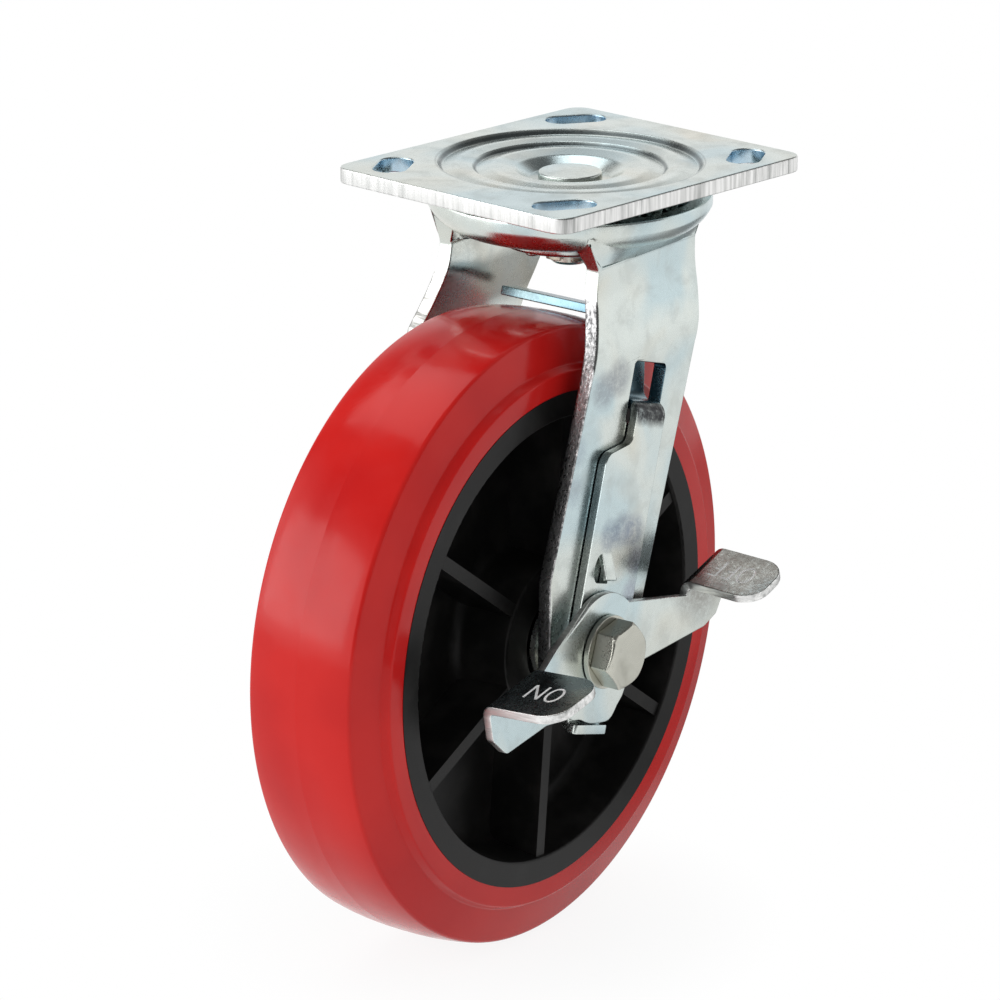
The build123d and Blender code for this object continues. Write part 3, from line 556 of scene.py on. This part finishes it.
def thicken(piece, thickness):
    # gives the sheet its thickness behind the drawn face, with the cut edges in the second finish
    piece.data.materials.append(zinc)
    piece.data.materials.append(zinc)
    applyModifier(
        piece, "SOLIDIFY", thickness=thickness * mm, offset=-1.0, use_even_offset=True, material_offset_rim=1
    )


def fillOutlines(piece):
    # one flat face between the joined outlines, open where the inner ones are
    activate(piece)
    bpy.ops.object.mode_set(mode="EDIT")
    bpy.ops.mesh.select_all(action="SELECT")
    bpy.ops.mesh.fill(use_beauty=True)
    bpy.ops.mesh.dissolve_limited(angle_limit=flatAngle)
    bpy.ops.object.mode_set(mode="OBJECT")


def cutWith(piece, cutter):
    applyModifier(piece, "BOOLEAN", object=cutter, operation="DIFFERENCE", solver="EXACT")
    bpy.data.objects.remove(cutter, do_unlink=True)


def smoothFlats(piece, sharperThan=32):
    activate(piece)
    bpy.ops.object.shade_smooth_by_angle(angle=math.radians(sharperThan))
    applyModifier(piece, "WEIGHTED_NORMAL", mode="FACE_AREA", weight=100, keep_sharp=True)


def easeEdges(piece, width, segments=2, sharperThan=32):
    # rounds the edges that a press or a tumbler leaves soft
    applyModifier(
        piece,
        "BEVEL",
        width=width * mm,
        segments=segments,
        limit_method="ANGLE",
        angle_limit=math.radians(sharperThan),
        use_clamp_overlap=False,
        miter_outer="MITER_ARC",
    )
    smoothFlats(piece, sharperThan)


def joinPieces(piece, others):
    activate(piece)
    for other in others:
        other.select_set(True)
    bpy.ops.object.join()


def settle(piece, nodeNames, materials):
    # hands a finished piece over: its finishes, its body and the nodes that it stands for
    slots = piece.data.materials
    for place, material in enumerate(materials):
        if place < len(slots):
            slots[place] = material
        else:
            slots.append(material)
    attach(piece, nodes[nodeNames[0]].parent.name.replace("body:", ""))
    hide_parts(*nodeNames)
    print(piece.name, len(piece.data.polygons), "faces")


# top plate: a flat sheet with four slots, and a pressed dish in its middle

plateLook = {
    "length": 113.0,
    "width": 96.0,
    "thickness": 5.0,
    "cornerRadius": 6.0,
    "slotFromEnd": 14.43,
    "slotFromSide": 12.28,
    "slotWidth": 10.5,
    "slotCentres": 9.26,
    "slotAngle": 31.0,
    "dishEdge": 42.5,
    # radius, height and rounding of each turn of the pressed rings, from the dish's edge inward
    "rings": (
        (42.5, 0, 0),
        (41.6, 0, 0.5),
        (39.9, -1.75, 0.9),
        (35.2, -0.9, 8.0),
        (30.6, -1.5, 0.5),
        (29.3, -2.75, 0.8),
        (24.2, -1.7, 7.0),
        (17.2, -2.6, 3.0),
        (12.9, -5.4, 1.2),
        (6.35, -5.4, 0),
    ),
    "ringSteps": 5,
    "turns": 128,
    "mergeRim": 0.00002,
    # faces this near to a slot's middle are its walls
    "slotReach": 12.0,
    "ease": 0.55,
    "sharperThan": 60,
}


def makePlate(look):
    halfLength, halfWidth = look["length"] / 2, look["width"] / 2
    corner = look["cornerRadius"]
    outline = roundedLine([
        (halfLength, halfWidth, corner),
        (-halfLength, halfWidth, corner),
        (-halfLength, -halfWidth, corner),
        (halfLength, -halfWidth, corner),
    ])
    piece = traceLine("topPlatePressing", [Vector((x, y, 0)) * mm for x, y in outline], filled=False)
    holes, slotMiddles = [], []
    for sideX in (-1, 1):
        for sideY in (-1, 1):
            angle = math.radians(-look["slotAngle"] * sideX * sideY)
            turned = Matrix.Rotation(angle, 2)
            inX, inY = halfLength - look["slotFromEnd"], halfWidth - look["slotFromSide"]
            middle = Vector((sideX * inX, sideY * inY))
            slotMiddles.append(middle.to_3d() * mm)
            half, radius = look["slotCentres"] / 2, look["slotWidth"] / 2
            halfTurn = [step * 15 for step in range(13)]
            ends = [(half, 90 - turn) for turn in halfTurn] + [(-half, 270 - turn) for turn in halfTurn]
            slot = []
            for shift, degrees in ends:
                around = math.radians(degrees)
                point = Vector((shift + radius * math.cos(around), radius * math.sin(around)))
                slot.append((turned @ point + middle).to_3d() * mm)
            holes.append(traceLine("slotOutline", slot, filled=False))
    bpy.ops.object.select_all(action="DESELECT")
    bpy.ops.mesh.primitive_circle_add(vertices=look["turns"], radius=look["dishEdge"] * mm)
    holes.append(bpy.context.object)
    joinPieces(piece, holes)
    fillOutlines(piece)
    profile = roundedLine(look["rings"], steps=look["ringSteps"])
    dishLine = [Vector((radius, 0, height)) * mm for radius, height in profile]
    dish = traceLine("dishProfile", dishLine, closed=False)
    bpy.ops.object.mode_set(mode="EDIT")
    bpy.ops.mesh.select_all(action="SELECT")
    bpy.ops.mesh.spin(steps=look["turns"], angle=math.tau, center=(0, 0, 0), axis=(0, 0, 1))
    bpy.ops.object.mode_set(mode="OBJECT")
    joinPieces(piece, [dish])
    bpy.ops.object.mode_set(mode="EDIT")
    bpy.ops.mesh.select_all(action="SELECT")
    bpy.ops.mesh.remove_doubles(threshold=look["mergeRim"])
    bpy.ops.object.mode_set(mode="OBJECT")
    faceAlike(piece, Vector((0, 0, 1)))
    thicken(piece, look["thickness"])
    piece.data.materials.append(zinc)
    for face in piece.data.polygons:
        away = min((face.center.xy - middle.xy).length for middle in slotMiddles)
        if face.material_index == 1 and away < look["slotReach"] * mm:
            face.material_index = 2
    easeEdges(piece, look["ease"], sharperThan=look["sharperThan"])
    return piece


plate = makePlate(plateLook)
settle(plate, ["top_plate"], [plateZinc, zincEdgeUpright, slotZinc])


# brake strap: one bent strip, up the leg, in through the window and over the tread

strapLook = {
    "lean": strapLean,
    "thickness": 3.0,
    "face": -39.3,
    "front": -12.0,
    "back": 16.7,
    "neckFront": 0.8,
    "shoulder": 60.0,
    "step": 4.6,
    "shelf": 77.8,
    "tabTop": -23.4,
    "tabFront": -8.0,
    "tabBack": 9.7,
    "tabNeck": -17.4,
    "tabReach": 3.2,
    "footFront": -8.5,
    "footBack": -4.2,
    "cornerRadius": 2.5,
    "shoulderRadius": 5.0,
    "stepRadius": 3.2,
    "tabCorner": 1.2,
    "tabBend": 1.0,
    "shelfBend": 4.6,
    "lowBend": 2.5,
    "barBend": 5.5,
    "insideLow": -30.4,
    "insideHigh": -25.9,
    "barTop": 104.1,
    "barSlope": 0.02,
    "barReach": 18.9,
    "barSlant": 20.0,
    "ease": 0.45,
    "tongue": {"front": -5.5, "back": 0.1, "top": 29.6, "length": 7.4, "lift": 3.5, "thickness": 1.6},
    "tongueRoot": {"above": 1.0, "sink": 0.3, "cuts": 6, "ease": 0.35},
    "mouth": {"side": -5.5, "radius": 2.8, "up": 25.0, "half": 4.6},
    "bushRadius": 8.7,
    "bushTurns": 48,
    "bushRise": 0.45,
    "cutLead": 1.0,
    "cutDepth": 5.0,
    # faces beyond this place across the fork are inside the leg or over the tread
    "insideFrom": -36.5,
}


def makeStrap(look):
    lean = look["lean"]

    def spot(side, up, across):
        return onLean(lean, side, up, across)

    def cutThrough(name, hole):
        # hole is drawn as side and up, and goes through the whole sheet
        cutter = traceLine(name, [spot(side, up, face - look["cutLead"]) for side, up in hole])
        faceAlike(cutter, -acrossFork)
        applyModifier(cutter, "SOLIDIFY", thickness=look["cutDepth"] * mm, offset=-1.0)
        cutWith(piece, cutter)

    face, radius = look["face"], look["cornerRadius"]
    outline = roundedLine([
        (look["tabFront"], look["tabTop"], 0),
        (look["tabFront"], look["tabNeck"], radius),
        (look["front"], look["footFront"], radius),
        (look["front"], look["shoulder"], look["shoulderRadius"]),
        (look["neckFront"], look["shoulder"] + look["step"], look["stepRadius"]),
        (look["neckFront"], look["shelf"], 0),
        (look["back"], look["shelf"], 0),
        (look["back"], look["footBack"], radius),
        (look["tabBack"], look["tabNeck"], radius),
        (look["tabBack"], look["tabTop"], 0),
    ])
    piece = traceLine("brakeStrapPressing", [spot(side, up, face) for side, up in outline])
    middle = (look["neckFront"] + look["back"]) / 2
    barStart = look["barTop"] + look["barSlope"] * look["insideHigh"]
    shelfBend = spot(middle, look["shelf"], face)
    lowBend = pullEdge(piece, shelfBend, spot(middle, look["shelf"], look["insideLow"]) - shelfBend)
    barBend = pullEdge(piece, lowBend, spot(middle, barStart, look["insideHigh"]) - lowBend)
    barEnd = spot(middle, look["barTop"] + look["barSlope"] * look["barReach"], look["barReach"])
    pullEdge(piece, barBend, barEnd - barBend)
    slant = (look["back"] - look["neckFront"]) * math.tan(math.radians(look["barSlant"]))
    backCorner = barEnd + spot(look["back"], 0, 0) - spot(middle, 0, 0)
    pickVertices(piece, near(backCorner))
    bpy.ops.transform.translate(value=acrossFork * slant * mm)
    bpy.ops.object.mode_set(mode="OBJECT")
    tabMiddle = spot((look["tabFront"] + look["tabBack"]) / 2, look["tabTop"], face)
    pullEdge(piece, tabMiddle, acrossFork * -look["tabReach"] * mm)
    for corner in (look["tabFront"], look["tabBack"]):
        roundCorner(piece, spot(corner, look["tabTop"], face - look["tabReach"]), look["tabCorner"], 4)
    bendEdge(piece, tabMiddle, look["tabBend"], 3)
    bendEdge(piece, shelfBend, look["shelfBend"])
    bendEdge(piece, lowBend, look["lowBend"])
    bendEdge(piece, barBend, look["barBend"])
    faceAlike(piece, -acrossFork)
    thicken(piece, look["thickness"])
    easeEdges(piece, look["ease"])
    mouth, tongue, rootLook = look["mouth"], look["tongue"], look["tongueRoot"]
    low, high = mouth["up"] - mouth["half"], mouth["up"] + mouth["half"]
    hole = []
    for step in range(13):
        turn = math.radians(90 + step * 15)
        side = mouth["side"] + mouth["radius"] * math.cos(turn)
        hole.append((side, mouth["up"] + mouth["half"] * math.sin(turn)))
    cutThrough("mouthCutter", hole + [(tongue["back"], low), (tongue["back"], high)])
    cutThrough("bushCutter", circlePoints(look["bushRadius"], look["bushTurns"], look["bushRise"]))
    top, tip = tongue["top"] + rootLook["above"], tongue["top"] - tongue["length"]
    front, back = tongue["front"], tongue["back"]
    flap = traceLine(
        "strapTongue",
        [spot(side, top, face + rootLook["sink"]) for side in (front, back)]
        + [spot(side, tip, face - tongue["lift"]) for side in (back, front)],
    )
    bpy.ops.object.mode_set(mode="EDIT")
    bpy.ops.mesh.select_all(action="SELECT")
    bpy.ops.mesh.subdivide(number_cuts=rootLook["cuts"])
    bpy.ops.object.mode_set(mode="OBJECT")
    faceAlike(flap, -acrossFork)
    thicken(flap, tongue["thickness"])
    easeEdges(flap, rootLook["ease"])
    joinPieces(piece, [flap])
    piece.data.materials.append(zinc)
    # faces inside the leg and over the tread take the darkened, blued zinc, painted shade
    for face in piece.data.polygons:
        if face.center.dot(acrossFork) > look["insideFrom"] * mm:
            face.material_index = 2
    smoothFlats(piece)
    return piece


strap = makeStrap(strapLook)
settle(strap, ["brake_strap"], [strapZinc, zincEdge, shadedZinc])


# brake pedal: a rocker with a cam, and two foot plates bent out of it

pedalLook = {
    "face": -39.6,
    "thickness": 3.0,
    "hub": 18.3,
    "hubFrom": 42.0,
    "hubTo": 125.0,
    "hubSteps": 14,
    "dip": (-25.0, 7.2),
    "onStart": (-35.2, 4.1),
    "onEnd": (-60.2, -0.5),
    "onHeel": (-57.8, -12.3),
    "onToe": (-51.0, -18.5),
    "onUnder": (-30.3, -15.6),
    # radius and angle of each place on the cam, from its lobe to where it meets the hub
    "cam": (
        (24.7, -136.0),
        (22.7, -122.0),
        (23.0, -100.0),
        (23.9, -83.0),
        (21.0, -65.0),
        (18.6, -45.0),
        (18.3, -27.0),
    ),
    "armBottom": -8.0,
    "armTurn": 56.0,
    "offToe": (62.8, -5.4),
    "offHeel": (65.7, -1.0),
    "offStart": (65.7, 16.0),
    "offEnd": (45.8, 10.0),
    "dipRadius": 4.0,
    "onRadius": 3.0,
    "armRadius": 6.0,
    "toeRadius": 1.5,
    "bendRadius": 3.8,
    "bendNotch": 4.8,
    "footReach": 27.8,
    "onRise": 1.8,
    "offRise": -1.4,
    "footCorner": 8.0,
    "ease": 0.5,
    "bore": 8.55,
    "boreTurns": 48,
    "letterHeight": 8.0,
    "letterWidths": {"O": 4.6, "N": 4.6, "F": 2.8},
    "letterGap": 2.0,
    "letterTurns": 24,
    "letterBar": 0.52,
    "letterBarLength": 0.8,
    "groove": 0.5,
    "grooveSink": 0.22,
    # places of the words, as shares of what is left of a foot plate outside its bend
    "bendShare": 0.11,
    "onWordPlace": 0.48,
    "offWordPlace": 0.42,
}


def camLine(points, steps=4):
    # a smooth run of radii between the given ones
    line = []
    for (radius, degrees), (nextRadius, nextDegrees) in zip(points, points[1:]):
        for step in range(steps):
            share = step / steps
            eased = share * share * (3 - 2 * share)
            around = math.radians(degrees + (nextDegrees - degrees) * share)
            reach = radius + (nextRadius - radius) * eased
            line.append((reach * math.cos(around), reach * math.sin(around), 0))
    return line


def drawLetter(letter, width, look):
    # strokes of one letter in its own box, up to the height
    height = look["letterHeight"]
    if letter == "O":
        turns = [math.tau * step / look["letterTurns"] for step in range(look["letterTurns"])]
        return [[(width / 2 * (1 + math.cos(a)), height / 2 * (1 + math.sin(a))) for a in turns]]
    if letter == "N":
        return [[(0, 0), (0, height)], [(0, height), (width, 0)], [(width, 0), (width, height)]]
    bar, reach = height * look["letterBar"], width * look["letterBarLength"]
    return [[(0, 0), (0, height)], [(0, height), (width, height)], [(0, bar), (reach, bar)]]


def strikeWord(piece, word, look, middle, reading, upright, outward):
    # cuts the word's round-bottomed strokes into a foot plate
    widths, gap, height = look["letterWidths"], look["letterGap"], look["letterHeight"]
    start = -(sum(widths[letter] for letter in word) + gap * (len(word) - 1)) / 2
    for letter in word:
        width = widths[letter]
        for stroke in drawLetter(letter, width, look):
            curve = bpy.data.curves.new("stroke", "CURVE")
            curve.dimensions = "3D"
            curve.bevel_depth = look["groove"] * mm
            curve.bevel_resolution = 2
            curve.use_fill_caps = True
            spline = curve.splines.new("POLY")
            spline.use_cyclic_u = letter == "O"
            spline.points.add(len(stroke) - 1)
            for knot, (x, y) in zip(spline.points, stroke):
                place = middle + (reading * (start + x) + upright * (y - height / 2)) * mm
                knot.co = (*(place + outward * look["grooveSink"] * mm), 1)
            cutter = bpy.data.objects.new("stroke", curve)
            bpy.context.scene.collection.objects.link(cutter)
            activate(cutter)
            bpy.ops.object.convert(target="MESH")
            groove = bpy.context.object
            for face in groove.data.polygons:
                face.material_index = 2
            cutWith(piece, groove)
        start += width + gap


def makePedal(look):
    def spot(point, across=look["face"]):
        return onLean(0, point[0], point[1], across)

    hub, steps = [], look["hubSteps"]
    for step in range(steps + 1):
        turn = math.radians(look["hubFrom"] + (look["hubTo"] - look["hubFrom"]) * step / steps)
        hub.append((look["hub"] * math.cos(turn), look["hub"] * math.sin(turn), 0))
    onStart, onEnd, offStart, offEnd = (look[name] for name in ("onStart", "onEnd", "offStart", "offEnd"))
    notch = look["bendNotch"]
    outline = roundedLine(hub + [
        (*look["dip"], look["dipRadius"]),
        (onStart[0], onStart[1] - notch, 0),
        (*onStart, 0),
        (*onEnd, 0),
        (*look["onHeel"], look["onRadius"]),
        (*look["onToe"], look["onRadius"]),
        (*look["onUnder"], look["onRadius"]),
    ] + camLine(look["cam"]) + [
        (look["armTurn"], look["armBottom"], look["armRadius"]),
        (*look["offToe"], look["toeRadius"]),
        (*look["offHeel"], 0),
        (*offStart, 0),
        (*offEnd, 0),
        (offEnd[0], offEnd[1] - notch, 0),
    ])
    piece = traceLine("brakePedalPressing", [spot(point) for point in outline], filled=False)
    bore = circlePoints(look["bore"], look["boreTurns"])
    joinPieces(piece, [traceLine("boreOutline", [spot(point) for point in bore], filled=False)])
    fillOutlines(piece)
    feet = {}
    plates = (("ON", onStart, onEnd, look["onRise"]), ("OFF", offStart, offEnd, look["offRise"]))
    for word, start, end, rise in plates:
        root = (spot(start) + spot(end)) / 2
        along = (spot(end) - spot(start)).normalized()
        level = along.cross(acrossFork).normalized()
        level = level if level.z > 0 else -level
        step = (level * rise - acrossFork * look["footReach"]) * mm
        pullEdge(piece, root, step)
        for point in (start, end):
            roundCorner(piece, spot(point) + step, look["footCorner"])
        feet[word] = (root, along, step)
    for root, along, step in feet.values():
        bendEdge(piece, root, look["bendRadius"])
    faceAlike(piece, acrossFork)
    thicken(piece, look["thickness"])
    easeEdges(piece, look["ease"])
    piece.data.materials.append(zinc)
    for word, place in (("ON", look["onWordPlace"]), ("OFF", look["offWordPlace"])):
        root, along, step = feet[word]
        outward = along.cross(step).normalized()
        outward = outward if outward.z > 0 else -outward
        middle = root + step * (look["bendShare"] + (1 - look["bendShare"]) * place)
        strikeWord(piece, word, look, middle, -step.normalized(), along, outward)
    smoothFlats(piece)
    return piece


pedal = makePedal(pedalLook)
settle(pedal, ["brake_pedal"], [pedalZinc, zincEdge, letterHighlightZinc])


# fork and race cup: the pressings with their edges eased

forkLook = {
    "ease": 0.8,
    "cupEase": 0.4,
    # cut edges are the faces below this height that hardly look across
    "edgeTop": -34.0,
    "edgeFacing": 0.25,
    "window": (8.0, 84.5, -37.0),
    "windowReach": 16.0,
    "finishes": [forkZinc, forkEdgeShade, nearEdgeShade, shadedZinc],
}

fork = copyOf("forkPressing", "fork")
fork.data.materials.clear()
for finish in forkLook["finishes"]:
    fork.data.materials.append(finish)
windowMiddle = onLean(strapLean, *forkLook["window"])
for face in fork.data.polygons:
    facing = abs(face.normal.dot(acrossFork))
    onEdge = facing < forkLook["edgeFacing"] and face.center.z < forkLook["edgeTop"] * mm
    # the window's walls take the darkened, blued zinc, painted shade
    if onEdge and (face.center - windowMiddle).length < forkLook["windowReach"] * mm:
        face.material_index = 3
    elif onEdge:
        face.material_index = 2 if face.center.dot(acrossFork) < 0 and face.normal.dot(alongFork) < 0 else 1
easeEdges(fork, forkLook["ease"])
settle(fork, ["fork"], forkLook["finishes"])

cup = copyOf("raceCupPressing", "lower_race_cup")
easeEdges(cup, forkLook["cupEase"])
settle(cup, ["lower_race_cup"], [zinc])

# axle bolt, nut and washers

hexLook = {"axle_bolt": 0.4, "axle_nut": 0.4, "bolt_washer": 0.3, "nut_washer": 0.3, "kingpin_nut": 0.3}
for nodeName, ease in hexLook.items():
    turned = copyOf(nodeName + "Turned", nodeName)
    easeEdges(turned, ease)
    settle(turned, [nodeName], [boltZinc])

# tyre: spun about the axle, with the mould's parting line round its tread

tyreShape = {
    # distance from the wheel's middle, radius and rounding, from the parting line to the core
    "side": (
        (18.9, 98.0, 1.6),
        (21.5, 86.5, 0.9),
        (24.4, 85.3, 0.9),
        (24.4, 78.9, 0),
    ),
    "radius": 99.7,
    "crown": 1.7,
    "crownPower": 2.4,
    "crownShares": (0.25, 0.5, 0.75),
    "partingHeight": 0.02,
    "partingHalf": 0.25,
    "cornerSteps": 5,
    "turns": 256,
    "mergeSeam": 0.00001,
    "sharperThan": 32,
}


def makeTyre(shape):
    edge, top = shape["side"][0][0], shape["radius"]
    half = [(shape["partingHalf"], top - shape["partingHeight"], 0)]
    for share in shape["crownShares"]:
        half.append((edge * share, top - shape["crown"] * share ** shape["crownPower"], 0))
    half += shape["side"]
    mirrored = [(-across, radius, rounding) for across, radius, rounding in reversed(half)]
    profile = roundedLine(mirrored + [(0, top, 0)] + half, steps=shape["cornerSteps"])
    line = [onFork(-axle["trail"], across, radius - axle["drop"]) for across, radius in profile]
    piece = traceLine("tyreTread", line, filled=False)
    bpy.ops.object.mode_set(mode="EDIT")
    bpy.ops.mesh.select_all(action="SELECT")
    wheelMiddle = onFork(-axle["trail"], 0, -axle["drop"])
    bpy.ops.mesh.spin(steps=shape["turns"], angle=math.tau, center=wheelMiddle, axis=acrossFork)
    bpy.ops.mesh.select_all(action="SELECT")
    bpy.ops.mesh.remove_doubles(threshold=shape["mergeSeam"])
    bpy.ops.mesh.normals_make_consistent(inside=False)
    bpy.ops.object.mode_set(mode="OBJECT")
    bpy.ops.object.shade_smooth_by_angle(angle=math.radians(shape["sharperThan"]))
    return piece


tyre = makeTyre(tyreShape)
settle(tyre, ["tyre"], [redUrethane])

# stage, lights and camera

stageLook = {
    "floorHeight": -0.241,
    "floorSize": 8.0,
    "floorCentre": (-0.04, 0, 0),
    "shadowFrom": 0.08,
    "shadowTo": 0.26,
    # the painted dark reflection's ends along each axis: where it starts, is whole, fades and is gone
    "card": {"X": (0.02, 0.10, 0.80, 0.90), "Y": (-0.15, -0.08, 0.08, 0.14)},
    "cardReach": (0.64, 0.74),
    "cardLight": 0.30,
    "floorColour": colour(0.96, 0.96, 0.96),
    "floorRoughness": 0.9,
    "worldLight": 0.62,
    "dark": 0.12,
    "wallWay": (0.733, 0.680, 0),
    "wallFade": (0.40, 0.85),
    "leftWay": (-0.85, 0.45, 0.25),
    "leftFade": (0.60, 0.80),
    "leftLight": 2.2,
    "rightWay": (0.83, -0.55, 0.05),
    "rightFade": (0.86, 0.95),
    "rightLight": 1.1,
    "ceilingFade": (0.36, 0.72),
}


def makeFloor(look):
    bpy.ops.mesh.primitive_plane_add(size=look["floorSize"], location=(0, 0, look["floorHeight"]))
    floor = bpy.context.object
    floor.name = "studioFloor"
    bpy.ops.object.transform_apply(location=True, rotation=True, scale=True)
    material, tree, shader, coords = newMaterial("studio white")
    shader.inputs["Base Color"].default_value = look["floorColour"]
    shader.inputs["Roughness"].default_value = look["floorRoughness"]
    away = put(tree, "VectorMath", {0: coords, 1: look["floorCentre"]}, operation="DISTANCE").outputs["Value"]
    fade = spread(tree, away, look["shadowFrom"], look["shadowTo"])
    rays = put(tree, "LightPath")
    seen = calc(tree, "MAXIMUM", rays.outputs["Is Camera Ray"], rays.outputs["Is Glossy Ray"])
    seen = calc(tree, "MAXIMUM", seen, rays.outputs["Is Transmission Ray"])
    white = put(tree, "Emission", {"Color": colour(1, 1, 1), "Strength": 1.0})
    factor = calc(tree, "MULTIPLY", seen, fade)
    blend = put(tree, "MixShader", {0: factor, 1: shader.outputs["BSDF"], 2: white.outputs["Emission"]})
    # painted dark reflection: a dim patch of floor ahead of the castor, seen only in reflections from near by
    spot = put(tree, "SeparateXYZ", {0: coords})
    nearBy = spread(tree, rays.outputs["Ray Length"], *look["cardReach"], 1.0, 0.0)
    card = calc(tree, "MULTIPLY", rays.outputs["Is Glossy Ray"], nearBy)
    for axis, (start, full, fading, gone) in look["card"].items():
        card = calc(tree, "MULTIPLY", card, spread(tree, spot.outputs[axis], start, full))
        card = calc(tree, "MULTIPLY", card, spread(tree, spot.outputs[axis], fading, gone, 1.0, 0.0))
    dim = put(tree, "Emission", {"Color": colour(1, 1, 1), "Strength": look["cardLight"]})
    blend = put(tree, "MixShader", {0: card, 1: blend.outputs["Shader"], 2: dim.outputs["Emission"]})
    output = next(node for node in tree.nodes if node.type == "OUTPUT_MATERIAL")
    tree.links.new(blend.outputs["Shader"], output.inputs["Surface"])
    floor.data.materials.append(material)


def makeWorld(look):
    world = bpy.data.worlds.new("white studio")
    bpy.context.scene.world = world
    world.use_nodes = True
    tree = world.node_tree
    tree.nodes.clear()
    rays = put(tree, "LightPath")
    seen = calc(tree, "MAXIMUM", rays.outputs["Is Camera Ray"], rays.outputs["Is Transmission Ray"])
    way = put(tree, "TexCoord").outputs["Generated"]
    height = put(tree, "SeparateXYZ", {0: way}).outputs["Z"]

    def facing(direction, low, high):
        toward = put(tree, "VectorMath", {0: way, 1: direction}, operation="DOT_PRODUCT").outputs["Value"]
        return spread(tree, toward, low, high)

    walls = facing(look["wallWay"], *look["wallFade"])
    leftBox = calc(tree, "MULTIPLY", facing(look["leftWay"], *look["leftFade"]), look["leftLight"])
    rightBox = calc(tree, "MULTIPLY", facing(look["rightWay"], *look["rightFade"]), look["rightLight"])
    bright = calc(tree, "MAXIMUM", calc(tree, "MAXIMUM", walls, leftBox), rightBox)
    bright = calc(tree, "MULTIPLY", bright, spread(tree, height, *look["ceilingFade"], 1.0, 0.0))
    mirrored = calc(tree, "MAXIMUM", bright, look["dark"])
    mirrored = calc(tree, "MULTIPLY", mirrored, rays.outputs["Is Glossy Ray"])
    other = calc(tree, "SUBTRACT", 1.0, rays.outputs["Is Glossy Ray"])
    other = calc(tree, "MULTIPLY", other, look["worldLight"])
    strength = calc(tree, "MAXIMUM", seen, calc(tree, "ADD", mirrored, other))
    background = put(tree, "Background", {"Color": colour(1, 1, 1), "Strength": strength})
    put(tree, "OutputWorld", {"Surface": background.outputs["Background"]})


lampLook = {
    # place, aim, width, height, watts
    "leftBox": ((-1.3, 0.7, 0.35), (-0.04, 0, -0.12), 1.2, 0.8, 8.0),
    "top": ((0.1, 0.5, 1.2), (-0.03, 0, -0.1), 1.0, 1.0, 6.0),
}


def makeLamps(look):
    for name, (place, aim, width, height, watts) in look.items():
        lamp = bpy.data.lights.new(name, "AREA")
        lamp.shape = "RECTANGLE"
        lamp.size = width
        lamp.size_y = height
        lamp.energy = watts
        holder = bpy.data.objects.new(name, lamp)
        bpy.context.scene.collection.objects.link(holder)
        holder.location = place
        holder.rotation_euler = (Vector(aim) - Vector(place)).to_track_quat("-Z", "Y").to_euler()


cameraLook = {
    "place": (-1.0752, -0.96956, 0.35991),
    "azimuth": -47.11,
    "elevation": 18.02,
    "roll": 0.22,
    "lens": 172.55,
    "sensor": 36.0,
    "clipEnd": 20.0,
}


def makeCamera(look):
    azimuth, elevation, roll = (math.radians(look[name]) for name in ("azimuth", "elevation", "roll"))
    back = Vector((
        math.sin(azimuth) * math.cos(elevation),
        -math.cos(azimuth) * math.cos(elevation),
        math.sin(elevation),
    ))
    right = Vector((math.cos(azimuth), math.sin(azimuth), 0))
    up = back.cross(right)
    rolledRight = right * math.cos(roll) + up * math.sin(roll)
    rolledUp = up * math.cos(roll) - right * math.sin(roll)
    turn = Matrix((rolledRight, rolledUp, back)).transposed()
    camera = bpy.data.cameras.new("camera")
    camera.lens = look["lens"]
    camera.sensor_width = look["sensor"]
    camera.clip_end = look["clipEnd"]
    holder = bpy.data.objects.new("camera", camera)
    bpy.context.scene.collection.objects.link(holder)
    holder.matrix_world = Matrix.Translation(Vector(look["place"])) @ turn.to_4x4()
    bpy.context.scene.camera = holder


makeFloor(stageLook)
makeWorld(stageLook)
makeLamps(lampLook)
makeCamera(cameraLook)
bpy.context.scene.view_settings.view_transform = "Standard"
print("stage ready")
